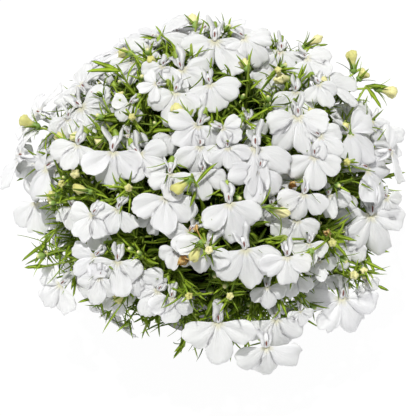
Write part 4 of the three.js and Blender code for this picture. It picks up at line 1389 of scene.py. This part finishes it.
def outward(axis, number, start):
    """Direction at right angles to an axis, a golden turn on for each number."""
    helper = square_to(axis)
    turn = GOLDEN_TURN * number + FULL_TURN * start
    return helper * math.cos(turn) + np.cross(axis, helper) * math.sin(turn)


def add_twig(piece, points, kind, tone, key):
    """A thin branch through points, with leaves along it."""
    curve = curve_through(points, 4)
    piece.add(*tube(curve, np.linspace(*TWIG_RADII, len(curve)), TWIG_SIDES), tone, STEM_LOOK)
    leaves_along(piece, curve, kind, key)


def clear_way(root, way, length, bow, fall, limit, tries, shrink):
    """Middle and end of a branch, shortened until petals, pot and the mound's limit are clear."""
    for _ in range(tries):
        middle = root + way * length * 0.5 + bow
        end = root + way * length + fall
        inside = mound_share(end) < limit and not in_pot(end) and not in_pot(middle)
        if inside and not blocked(root, middle, end + way):
            return middle, end
        length *= shrink
        if length < BRANCH_LEAST:
            break
    return None


def add_branches(piece, stem, number):
    """Leafy side branches that fill the inside of the mound."""
    family = stem["name"].rsplit("_", 1)[0]
    count = BRANCHES_PER_STEM[family]
    path = curve_through(stem["path"][1:], 8)
    ways = directions(path)
    for branch in range(count):
        key = BRANCH_KEY + number * KEYS_PER_STEM + branch
        place = int((branch + 0.3) / count * (len(path) - 1))
        root = path[place]
        axis = ways[place]
        out = outward(axis, branch, draw(number, 7))
        away = unit(root - MOUND_CENTRE + LEVEL_UP * 2 + 1e-3)
        way = unit(out + axis * 0.7 + away * 0.5)
        rise = LEVEL_UP * pick(*BRANCH_RISE, key, 2)
        length = pick(*BRANCH_LENGTHS, key, 1)
        spots = clear_way(root, way, length, LEVEL_UP * 1.5, rise, BRANCH_LIMIT, *BRANCH_TRIES)
        if spots:
            middle, end = spots
            add_twig(piece, [root, middle, end], "branch", draw(key, 3), key)
            if mound_share(end) > YOUNG_BUD_SHARE:
                add_young_bud(piece, end, unit(end - middle + LEVEL_UP * 6), key)


def add_trailers(piece, stem, number):
    """Leafy branches that hang from a low stem over the pot's rim."""
    path = curve_through(stem["path"][2:], 8)
    for branch in range(TRAILERS):
        key = TRAILER_KEY + number * KEYS_PER_STEM + branch
        root = path[-1 - int((len(path) - 4) * draw(key, 1))]
        out = unit(root * np.array([1, 1, 0]))
        beside = np.cross(out, LEVEL_UP)
        way = out * pick(0.5, 1.0, key, 2) + beside * pick(-1.1, 1.1, key, 3)
        way = unit(way - LEVEL_UP * pick(0.1, 0.9, key, 4))
        fall = -LEVEL_UP * pick(*TRAILER_FALL, key, 6)
        length = pick(*TRAILER_LENGTHS, key, 5)
        spots = clear_way(root, way, length, out * 2, fall, TRAILER_LIMIT, *TRAILER_TRIES)
        if spots:
            middle, end = spots
            add_twig(piece, [root, middle, end], "trailer", draw(key, 7), key)
            if branch % 2 == 0:
                add_young_bud(piece, end, unit(end - middle), key)


def add_skirt(piece, stem, number):
    """Leafy branches that lean out over the pot's rim, evenly to either side of a low stem."""
    head = stem["path"][-1]
    turn = math.degrees(math.atan2(head[0], head[1]))
    for branch in range(SKIRT):
        key = SKIRT_KEY + number * KEYS_PER_STEM + branch
        out, _ = around(turn + SKIRT_SPREAD * ((branch + 0.5) / SKIRT - 0.5) + pick(-3, 3, key, 1))
        root = below_head(stem, pick(1, 9, key, 2))
        over = out * pick(*SKIRT_OVER[0], key, 3) + LEVEL_UP * pick(*SKIRT_OVER[1], key, 4)
        end = out * pick(*SKIRT_END[0], key, 5) + LEVEL_UP * pick(*SKIRT_END[1], key, 6)
        points = [root, root + (over - root) * 0.5 + LEVEL_UP * 2, over, end]
        if not blocked(*curve_through(points, 4)):
            add_twig(piece, points, "skirt", draw(key, 7), key)


def add_bracts(piece, stalk, key):
    """Narrow leaves, and here and there a young bud, that stand out between the petals."""
    curve = curve_through(stalk, 6)
    bears_bud = draw(key, 126) < BRACT_BUD_CHANCE
    for number in range(BRACTS):
        root = curve[int((len(curve) - 1) * pick(0.45, 0.95, key, number, 121))]
        aside = np.array([pick(-1, 1, key, number, 122 + axis) for axis in range(3)])
        way = unit(mound_normal(root) + aside * 0.8 + LEVEL_UP * 0.2)
        length = pick(*BRACT_LENGTHS, key, number, 125)
        across = np.cross(way, aside)
        for _ in range(BRACT_TRIES):
            tip = root + way * length
            if mound_share(tip) < BRACT_LIMIT and not blocked(root + way * 0.6, tip + way * 2):
                if bears_bud and number == 0:
                    middle = root + way * length * 0.5 + across * length * 0.12
                    thread = curve_through([root, middle, tip - way * 3], 3)
                    piece.add(*tube(thread, THREAD_RADIUS, TWIG_SIDES), draw(key, 127), STEM_LOOK)
                    add_young_bud(piece, thread[-1], way, key)
                else:
                    width = length * 0.06 + 0.4
                    add_leaf(piece, root, way, length, width, across, key * 8 + number, LEAF_DROOP)
                break
            length *= BRACT_SHRINK


def add_withered(piece, root, spot, key):
    """A shrivelled old petal on a short dry thread."""
    way = spot - root
    path = [root + way * share for share in (0, 0.35, 0.7)]
    for step in range(1, 6):
        wander = np.array([pick(-1.2, 1.2, key, step, axis) for axis in range(3)])
        path.append(spot + wander - LEVEL_UP * 0.8 * step)
    curve = curve_through(path, 3)
    last = len(WITHERED_WIDTHS) - 1
    widths = np.interp(np.linspace(0, last, len(curve)), range(last + 1), WITHERED_WIDTHS)
    piece.add(*blade(curve, RIGHT, widths, 0.4, 0.6), draw(key, 1), WITHERED_LOOK)


def add_shoot(piece, limb, key):
    """A shoot with a few leaves at its end, whose tips are known."""
    stalk = limb["points"]
    curve = curve_through(stalk, 6)
    piece.add(*tube(curve, np.linspace(*SHOOT_RADII, len(curve)), STALK_SIDES), 0.5, STEM_LOOK)
    across = np.array([pick(-1, 1, key, 5), pick(-1, 1, key, 6), 0.2])
    for leaf, tip in enumerate(limb["tips"]):
        way = tip - stalk[-1]
        length = np.linalg.norm(way)
        root = stalk[-1] - way * 0.03
        add_leaf(piece, root, way / length, length * 1.06, SHOOT_LEAF_WIDTH, across, key * 8 + leaf, 0.06)


def stem_piece(stem, number, withered):
    """A main stem with all that grows from it."""
    piece = Piece()
    for place, (root, spot) in enumerate(withered):
        add_withered(piece, root, spot, WITHERED_KEY + number * 10 + place)
    if stem["name"].startswith("stems_low"):
        add_trailers(piece, stem, number)
        add_skirt(piece, stem, number)
    path = curve_through(stem["path"], 6)
    radii = np.linspace(STEM_RADIUS, STEM_RADIUS - STEM_TAPER, len(path))
    piece.add(*tube(path, radii, STEM_SIDES), 0.5, STEM_LOOK)
    add_branches(piece, stem, number)
    leaves_along(piece, path[8:], "stem", STEM_LEAF_KEY + number)
    for limb in stem["limbs"]:
        key = LOOK_KEY + limb["key"] * 3
        if limb["key"] < BUD_KEY:
            add_calyx(piece, limb, key)
            stalk = limb["points"][:-1]
        elif limb["key"] < SHOOT_KEY:
            add_bud(piece, limb, key)
            stalk = limb["points"][:-2]
        else:
            add_shoot(piece, limb, key)
            stalk = limb["points"]
        leaves_along(piece, curve_through(stalk, 6), "limb", key)
        add_bracts(piece, stalk, key)
    return piece


# Pot and compost


def lathe(profile, sides):
    """Turned body from a profile of (radius, height), with its first and last rings capped."""
    shares = np.arange(sides) / sides
    turns = 2 * np.pi * shares
    rows = []
    marks = []
    for radius, height in profile:
        level = np.full(sides, height)
        rows.append(np.stack([np.cos(turns) * radius, np.sin(turns) * radius, level], axis=1))
        marks.append(np.stack([shares, level / POT_HEIGHT], axis=1))
    last = (len(profile) - 1) * sides
    faces = quads(len(profile), sides, wrap=True)
    faces.append(tuple(range(sides)))
    faces.append(tuple(reversed(range(last, last + sides))))
    return np.concatenate(rows), faces, np.concatenate(marks)


def rounded(profile, radius, steps=4):
    """A closed profile with its corners rounded off."""
    profile = np.array(profile, dtype=float)
    count = len(profile)
    points = []
    for index in range(count):
        corner = profile[index]
        before = profile[index - 1] - corner
        after = profile[(index + 1) % count] - corner
        reach = min(radius, np.linalg.norm(before) * 0.45, np.linalg.norm(after) * 0.45)
        start = corner + unit(before) * reach
        end = corner + unit(after) * reach
        for step in range(steps + 1):
            t = step / steps
            points.append((1 - t) ** 2 * start + 2 * t * (1 - t) * corner + t * t * end)
    return points


def pot_piece():
    """The moulded pot: tapered wall, rim band and foot ring, all with rounded edges."""
    band = POT_HEIGHT - RIM_BAND_HEIGHT
    wall = [
        (FLOOR_CAP, 0.6),
        (POT_FOOT_RADIUS - 4, 0.6),
        (POT_FOOT_RADIUS - 3.4, 0),
        (POT_FOOT_RADIUS, 0),
        (wall_radius(band) - 0.1, band - 0.5),
        (wall_radius(band) + RIM_BAND_OUT - 0.1, band),
        (wall_radius(POT_HEIGHT) + RIM_BAND_OUT, POT_HEIGHT),
        (wall_radius(POT_HEIGHT) - POT_WALL, POT_HEIGHT),
        (wall_radius(POT_HEIGHT - 8) - POT_WALL, POT_HEIGHT - 8),
        (wall_radius(POT_FLOOR) - POT_WALL, POT_FLOOR),
        (FLOOR_CAP, POT_FLOOR),
    ]
    piece = Piece()
    piece.add(*lathe(rounded(wall, POT_ROUNDING), POT_SIDES))
    return piece


def drill(pot):
    """Cuts the drain holes through the pot's floor."""
    pins = Piece()
    for hole in range(DRAIN_HOLES):
        turn = 2 * math.pi * hole / DRAIN_HOLES
        x = math.cos(turn) * HOLE_CIRCLE
        y = math.sin(turn) * HOLE_CIRCLE
        pins.add(*tube([(x, y, -2), (x, y, 1), (x, y, POT_FLOOR + 0.2)], DRAIN_RADIUS, 32))
    cutter = new_object("pins", pins.bare_mesh("pins"))
    cut = pot.modifiers.new("holes", "BOOLEAN")
    cut.object = cutter
    cut.operation = "DIFFERENCE"
    cut.solver = "EXACT"
    drilled = pot.evaluated_get(bpy.context.evaluated_depsgraph_get())
    shape = bpy.data.meshes.new_from_object(drilled)
    pot.modifiers.clear()
    pot.data = shape
    bpy.data.objects.remove(cutter)


def compost_piece():
    """Crumbly compost: a rough surface with loose crumbs on it, a few of them pale."""
    piece = Piece()
    sides = COMPOST_SIDES
    rings = COMPOST_RINGS
    reach = wall_radius(COMPOST_TOP) - POT_WALL - SEAT_GAP
    foot = POT_FLOOR + SEAT_GAP
    foot_reach = wall_radius(foot) - POT_WALL - SEAT_GAP

    def surface(turn, radius, rise):
        height = COMPOST_TOP + COMPOST_CROWN * (1 - radius / reach) + rise
        return math.cos(turn) * radius, math.sin(turn) * radius, height

    points = []
    marks = []
    for ring in range(rings + 1):
        radius = 0.4 + (reach - 0.4) * ring / rings
        for corner in range(sides):
            turn = 2 * math.pi * (corner + 0.5 * (ring % 2)) / sides
            lump = math.sin(0.31 * radius + 3 * turn) * math.sin(0.17 * radius + 5 * turn)
            rise = (draw(ring, corner, 41) - 0.5) * COMPOST_ROUGH + lump * COMPOST_LUMP
            points.append(surface(turn, radius, rise * (ring < rings)))
            marks.append((corner / sides, ring / rings))
    top = len(points)
    for corner in range(sides):
        turn = 2 * math.pi * corner / sides
        points.append((math.cos(turn) * foot_reach, math.sin(turn) * foot_reach, foot))
        marks.append((corner / sides, 1))
    faces = turned(quads(rings + 2, sides, wrap=True))
    faces.append(tuple(range(top, top + sides)))
    faces.append(tuple(reversed(range(sides))))
    piece.add(points, faces, marks)
    for crumb in range(CRUMBS):
        radius = reach * 0.97 * math.sqrt(draw(crumb, 42))
        size = CRUMB_LEAST + CRUMB_MORE * draw(crumb, 44) ** 3
        centre = surface(2 * math.pi * draw(crumb, 43), radius, 0.35 * size)
        add_crumb(piece, np.array(centre), size, crumb)
    return piece


def add_crumb(piece, centre, size, key):
    """A small uneven lump with the twelve corners of an icosahedron."""
    golden = (1 + 5 ** 0.5) / 2
    corners = []
    for a in (-1, 1):
        for b in (-golden, golden):
            corners += [(0, a, b), (a, b, 0), (b, 0, a)]
    corners = np.array(corners) / math.hypot(1, golden)
    near = np.linalg.norm(corners[:, None] - corners[None], axis=2) < 1.1
    faces = []
    for i, j, k in combinations(range(12), 3):
        if near[i][j] and near[j][k] and near[i][k]:
            normal = np.cross(corners[j] - corners[i], corners[k] - corners[i])
            faces.append((i, j, k) if normal @ corners[i] > 0 else (i, k, j))
    scale = np.array([size * pick(0.6, 1.5, key, axis + 45) for axis in range(3)])
    bumps = np.array([[pick(0.75, 1.25, key, index, 48)] for index in range(12)])
    piece.add(centre + corners * bumps * scale, faces, np.zeros((12, 2)), draw(key, 49))


# Materials


class Look:
    """A node material, built a node at a time."""

    def __init__(self, name):
        self.material = bpy.data.materials.new(name)
        self.material.use_nodes = True
        self.tree = self.material.node_tree
        self.tree.nodes.clear()
        self.output = self.node("ShaderNodeOutputMaterial")
        self.shader = self.node("ShaderNodeBsdfPrincipled")
        self.link(self.shader.outputs[0], self.output.inputs["Surface"])

    def node(self, kind, **settings):
        node = self.tree.nodes.new(kind)
        for key, value in settings.items():
            setattr(node, key, value)
        return node

    def link(self, source, target):
        self.tree.links.new(source, target)

    def put(self, value, target):
        if isinstance(value, bpy.types.NodeSocket):
            self.link(value, target)
        else:
            target.default_value = value

    def math(self, operation, *values, clamp=False):
        node = self.node("ShaderNodeMath", operation=operation, use_clamp=clamp)
        for number, value in enumerate(values):
            self.put(value, node.inputs[number])
        return node.outputs[0]

    def mix(self, share, first, second, blend="MIX"):
        node = self.node("ShaderNodeMix", data_type="RGBA", blend_type=blend)
        self.put(share, node.inputs[0])
        self.put(first, node.inputs[6])
        self.put(second, node.inputs[7])
        return node.outputs[2]

    def mottle(self, share, value, low, high, first, second):
        """A colour that goes over to another, up to that share, as a value goes from low to high."""
        return self.mix(self.remap(value, low, high, 0.0, share), first, second)

    def remap(self, value, low, high, to_low=0.0, to_high=1.0):
        node = self.node("ShaderNodeMapRange", interpolation_type="SMOOTHSTEP")
        for number, item in enumerate((value, low, high, to_low, to_high)):
            self.put(item, node.inputs[number])
        return node.outputs[0]

    def marks(self):
        split = self.node("ShaderNodeSeparateXYZ")
        self.link(self.node("ShaderNodeUVMap", uv_map="shape").outputs[0], split.inputs[0])
        return split.outputs[0], split.outputs[1]

    def tone(self):
        return self.node("ShaderNodeAttribute", attribute_name="tone").outputs["Fac"]

    def noise(self, scale, detail=2.0, roughness=0.5, stretch=(1, 1, 1)):
        place = self.node("ShaderNodeTexCoord").outputs["Object"]
        mapping = self.node("ShaderNodeMapping")
        self.link(place, mapping.inputs[0])
        mapping.inputs["Scale"].default_value = stretch
        node = self.node("ShaderNodeTexNoise")
        self.link(mapping.outputs[0], node.inputs["Vector"])
        node.inputs["Scale"].default_value = scale
        node.inputs["Detail"].default_value = detail
        node.inputs["Roughness"].default_value = roughness
        return node.outputs["Fac"]

    def bump(self, height, strength, distance):
        node = self.node("ShaderNodeBump")
        node.inputs["Strength"].default_value = strength
        node.inputs["Distance"].default_value = distance
        self.link(height, node.inputs["Height"])
        self.link(node.outputs[0], self.shader.inputs["Normal"])

    def set(self, **values):
        for name, value in values.items():
            self.put(value, self.shader.inputs[name.replace("_", " ")])

    def glow_through(self, weight, radius, scale):
        """Light that goes in and comes out a little further on."""
        self.set(Subsurface_Weight=weight, Subsurface_Radius=radius, Subsurface_Scale=scale)


def rgb(red, green, blue):
    return (red, green, blue, 1.0)


def petal_look():
    """White petals with fine fanned veins, a cream throat and now and then a pink speck."""
    look = Look("petal_white")
    across, out = look.marks()
    fan = look.math("MULTIPLY", look.math("SUBTRACT", across, 0.5), 34.0)
    spread = look.math("ADD", fan, look.math("MULTIPLY", look.noise(260, 2), 3.0))
    vein = look.math("POWER", look.math("ABSOLUTE", look.math("SINE", spread)), 0.5)
    vein = look.math("SUBTRACT", 1.0, vein)
    vein = look.math("MULTIPLY", vein, look.remap(out, 0.95, 0.3, 0.0, 1.0))
    shade = rgb(0.87, 0.87, 0.885)
    white = look.mottle(1.0, look.noise(90, 3), 0.35, 0.7, shade, rgb(0.92, 0.92, 0.93))
    white = look.mix(look.math("MULTIPLY", vein, 0.5), white, rgb(0.76, 0.76, 0.78))
    white = look.mottle(0.5, look.tone(), 0.6, 1.0, white, rgb(0.86, 0.85, 0.91))
    white = look.mottle(0.95, out, 0.27, 0.11, white, rgb(0.82, 0.77, 0.50))
    specks = look.node("ShaderNodeTexVoronoi")
    look.link(look.node("ShaderNodeTexCoord").outputs["Object"], specks.inputs["Vector"])
    specks.inputs["Scale"].default_value = 140
    dot = look.remap(specks.outputs["Distance"], 0.075, 0.05)
    chance = look.node("ShaderNodeSeparateColor")
    look.link(specks.outputs["Color"], chance.inputs[0])
    rare = look.math("GREATER_THAN", chance.outputs[0], 0.93)
    speck = look.math("MULTIPLY", look.math("MULTIPLY", dot, rare), 0.6)
    white = look.mix(speck, white, rgb(0.55, 0.22, 0.30))
    look.set(Base_Color=white, Roughness=0.62, Specular_IOR_Level=0.3)
    look.set(Sheen_Weight=0.15, Sheen_Roughness=0.4)
    look.glow_through(0.8, (1.0, 1.0, 1.0), 0.0014)
    grain = look.math("MULTIPLY", look.noise(1500, 3), 0.5)
    relief = look.math("ADD", look.math("MULTIPLY", vein, 0.7), grain)
    look.bump(relief, 0.6, 0.00018)
    return look.material


def anther_look():
    look = Look("anther_brown")
    _, along = look.marks()
    colour = look.mottle(1.0, along, 0.0, 0.5, rgb(0.45, 0.30, 0.22), rgb(0.17, 0.045, 0.035))
    colour = look.mottle(1.0, look.noise(1800, 2), 0.5, 0.7, colour, rgb(0.30, 0.12, 0.09))
    look.set(Base_Color=colour, Roughness=0.7)
    return look.material


def leaf_look():
    """Leaves: painted shade darkens those deep in the mound and leaves those outside lighter, each with a
    paler midrib.
    """
    look = Look("leaf_green")
    across, along = look.marks()
    # This dark green is painted shade for leaves deep in the mound, and also the colour of the random
    # mottle
    dark = rgb(0.022, 0.056, 0.002)
    colour = look.mix(look.tone(), dark, rgb(0.36, 0.51, 0.026))
    colour = look.mottle(0.5, look.noise(300, 3), 0.3, 0.75, colour, dark)
    from_rib = look.math("ABSOLUTE", look.math("SUBTRACT", across, 0.5))
    colour = look.mottle(0.55, from_rib, 0.16, 0.0, colour, rgb(0.48, 0.59, 0.12))
    colour = look.mottle(0.35, along, 0.92, 1.0, colour, rgb(0.30, 0.27, 0.07))
    look.set(Base_Color=colour, Roughness=0.55, Specular_IOR_Level=0.12)
    look.glow_through(0.12, (0.5, 1.0, 0.2), 0.0005)
    look.bump(look.noise(2200, 2), 0.25, 0.0001)
    return look.material


def stem_look():
    look = Look("stem_green")
    colour = look.mix(look.tone(), rgb(0.22, 0.34, 0.03), rgb(0.42, 0.54, 0.08))
    colour = look.mottle(0.5, look.noise(120, 2), 0.45, 0.8, colour, rgb(0.24, 0.22, 0.07))
    look.set(Base_Color=colour, Roughness=0.5)
    look.glow_through(0.1, (0.5, 1.0, 0.2), 0.0005)
    look.bump(look.noise(1600, 2, stretch=(1, 1, 0.15)), 0.3, 0.0001)
    return look.material


def withered_look():
    look = Look("withered_amber")
    amber = rgb(0.48, 0.22, 0.05)
    colour = look.mottle(1.0, look.noise(500, 3), 0.35, 0.65, amber, rgb(0.72, 0.48, 0.18))
    look.set(Base_Color=colour, Roughness=0.7)
    look.glow_through(0.3, (1.0, 0.6, 0.2), 0.0008)
    look.bump(look.noise(1400, 3), 0.5, 0.0002)
    return look.material


def bud_look():
    """Buds: green at the cup, then cream-yellow furled petals, with painted shade in the grooves between
    them.
    """
    look = Look("bud_cream")
    across, along = look.marks()
    cream = look.mix(look.tone(), rgb(0.62, 0.60, 0.18), rgb(0.90, 0.84, 0.46))
    # Darker greenish stripes in the grooves between the furled petals are painted shade in the folds
    furl = look.math("ABSOLUTE", look.math("SINE", look.math("MULTIPLY", across, 15.7)))
    cream = look.mottle(0.5, furl, 0.35, 0.0, cream, rgb(0.55, 0.56, 0.24))
    green = look.mix(look.tone(), rgb(0.17, 0.29, 0.05), rgb(0.28, 0.42, 0.10))
    edge = look.math("ADD", along, look.math("MULTIPLY", look.noise(500, 2), 0.12))
    look.set(Base_Color=look.mottle(1.0, edge, 0.30, 0.46, green, cream), Roughness=0.5)
    look.glow_through(0.25, (1.0, 0.9, 0.5), 0.0008)
    look.bump(look.noise(1500, 2), 0.25, 0.0001)
    return look.material


def pot_look():
    """Dark grey moulded plastic: satin, faintly mottled, with scuffs and dried compost near the foot."""
    look = Look("pot_plastic")
    _, up = look.marks()
    grey = rgb(0.032, 0.033, 0.037)
    colour = look.mottle(1.0, look.noise(45, 4), 0.3, 0.7, grey, rgb(0.043, 0.044, 0.049))
    streak = look.remap(look.noise(60, 3, stretch=(1, 1, 0.12)), 0.58, 0.78)
    colour = look.mix(look.math("MULTIPLY", streak, 0.25), colour, rgb(0.10, 0.10, 0.10))
    dust = look.math("MULTIPLY", look.remap(up, 0.22, 0.0), look.remap(look.noise(110, 4), 0.4, 0.7))
    colour = look.mix(look.math("MULTIPLY", dust, 0.6), colour, rgb(0.11, 0.085, 0.06))
    roughness = look.remap(look.noise(70, 4), 0.3, 0.75, 0.36, 0.56)
    look.set(Base_Color=colour, Roughness=roughness, Specular_IOR_Level=0.3)
    look.bump(look.noise(900, 3), 0.12, 0.0002)
    return look.material


def compost_look():
    look = Look("compost_dark")
    brown = rgb(0.018, 0.012, 0.008)
    colour = look.mottle(1.0, look.noise(420, 4), 0.35, 0.7, brown, rgb(0.075, 0.048, 0.030))
    colour = look.mottle(1.0, look.tone(), *PALE_CRUMB, colour, rgb(0.45, 0.42, 0.36))
    look.set(Base_Color=colour, Roughness=0.95, Specular_IOR_Level=0.2)
    look.bump(look.noise(900, 5, 0.7), 0.8, 0.0008)
    return look.material


def floor_look():
    look = Look("floor_pale")
    shade = look.mix(look.noise(3, 3), rgb(0.05, 0.05, 0.05), rgb(0.06, 0.06, 0.06))
    look.set(Base_Color=shade, Roughness=0.8, Specular_IOR_Level=0.1)
    look.set(Emission_Color=rgb(1, 1, 1), Emission_Strength=FLOOR_GLOW)
    look.bump(look.noise(400, 2), 0.02, 0.0002)
    return look.material


# Floor, light and camera


def add_floor():
    mesh = bpy.data.meshes.new("floor")
    corners = [(x * FLOOR_REACH, y * FLOOR_REACH, 0) for x, y in ((-1, -1), (1, -1), (1, 1), (-1, 1))]
    mesh.from_pydata(corners, [], [(0, 1, 2, 3)])
    mesh.materials.append(floor_look())
    new_object("floor", mesh)


def add_key_light():
    light = bpy.data.lights.new("key", "SUN")
    light.energy = KEY_STRENGTH
    light.angle = math.radians(KEY_ANGLE)
    light.color = KEY_COLOUR
    obj = new_object("key", light)
    obj.rotation_euler = Vector(KEY_FROM).to_track_quat("Z", "Y").to_euler()


def add_world():
    world = bpy.data.worlds.new("studio")
    world.use_nodes = True
    background = world.node_tree.nodes["Background"]
    background.inputs["Color"].default_value = WORLD_COLOUR
    background.inputs["Strength"].default_value = WORLD_STRENGTH
    bpy.context.scene.world = world


def add_camera():
    """The camera of the photograph, with its square picture's middle where the photograph has it."""
    data = bpy.data.cameras.new("camera")
    data.sensor_width = SENSOR
    data.lens = SENSOR * VIEW_DISTANCE / (PICTURE_SIZE * MM_PER_PIXEL)
    data.shift_x = (PICTURE_SIZE / 2 - PICTURE_MIDDLE[0]) / PICTURE_SIZE
    data.clip_end = 20
    camera = new_object("camera", data)
    axes = np.stack([RIGHT, UPWARD, -FORWARD], axis=1)
    camera.matrix_world = Matrix.Translation(Vector(CAMERA * MM)) @ Matrix(axes.tolist()).to_4x4()
    bpy.context.scene.camera = camera


# Where the solids' blooms, buds and shoots are, and what is added between them

front = front_clusters()
back = back_clusters([bloom for cluster in front for bloom in cluster["blooms"]])
clusters = front + back
for cluster in clusters:
    lift_cluster(cluster)
blooms = [bloom for cluster in clusters for bloom in cluster["blooms"]]
stems = main_stems()
for index, bloom in enumerate(blooms):
    find_calyx(stems, bloom, index)
for index, row in enumerate(BUDS):
    find_bud(stems, row, BUD_KEY + index)
for index, (end, tips) in enumerate(shoot_rows()):
    find_shoot(stems, end, tips, SHOOT_KEY + index)
withered = withered_spots(stems)
filling = filling_blooms(blooms)
for index, bloom in enumerate(filling):
    hold(stems, bloom, FILL_KEY + index)

# The pieces

petal_looks = [petal_look(), anther_look()]
foliage_looks = [leaf_look(), stem_look(), bud_look(), withered_look()]
filling_piece = bloom_piece(filling, FILL_KEY)
filling_piece.make("fine_blooms_filling", petal_looks, "petals")
petals = petal_tree(clusters, filling_piece)
first = 0
for cluster in clusters:
    piece = bloom_piece(cluster["blooms"], first)
    piece.make(f"fine_{cluster['name']}", petal_looks, "petals", [cluster["name"]])
    first += len(cluster["blooms"])
for number, stem in enumerate(stems):
    piece = stem_piece(stem, number, withered.get(stem["name"], ()))
    piece.make(f"leafy_{stem['name']}", foliage_looks, "foliage", [stem["name"]])
drill(pot_piece().make("pot_moulded", [pot_look()], "pot", ["pot"]))
compost_piece().make("compost_crumbly", [compost_look()], "compost", ["compost"])

add_floor()
add_world()
add_key_light()
add_camera()
bpy.context.scene.view_settings.view_transform = "Standard"
bpy.context.scene.view_settings.exposure = 0
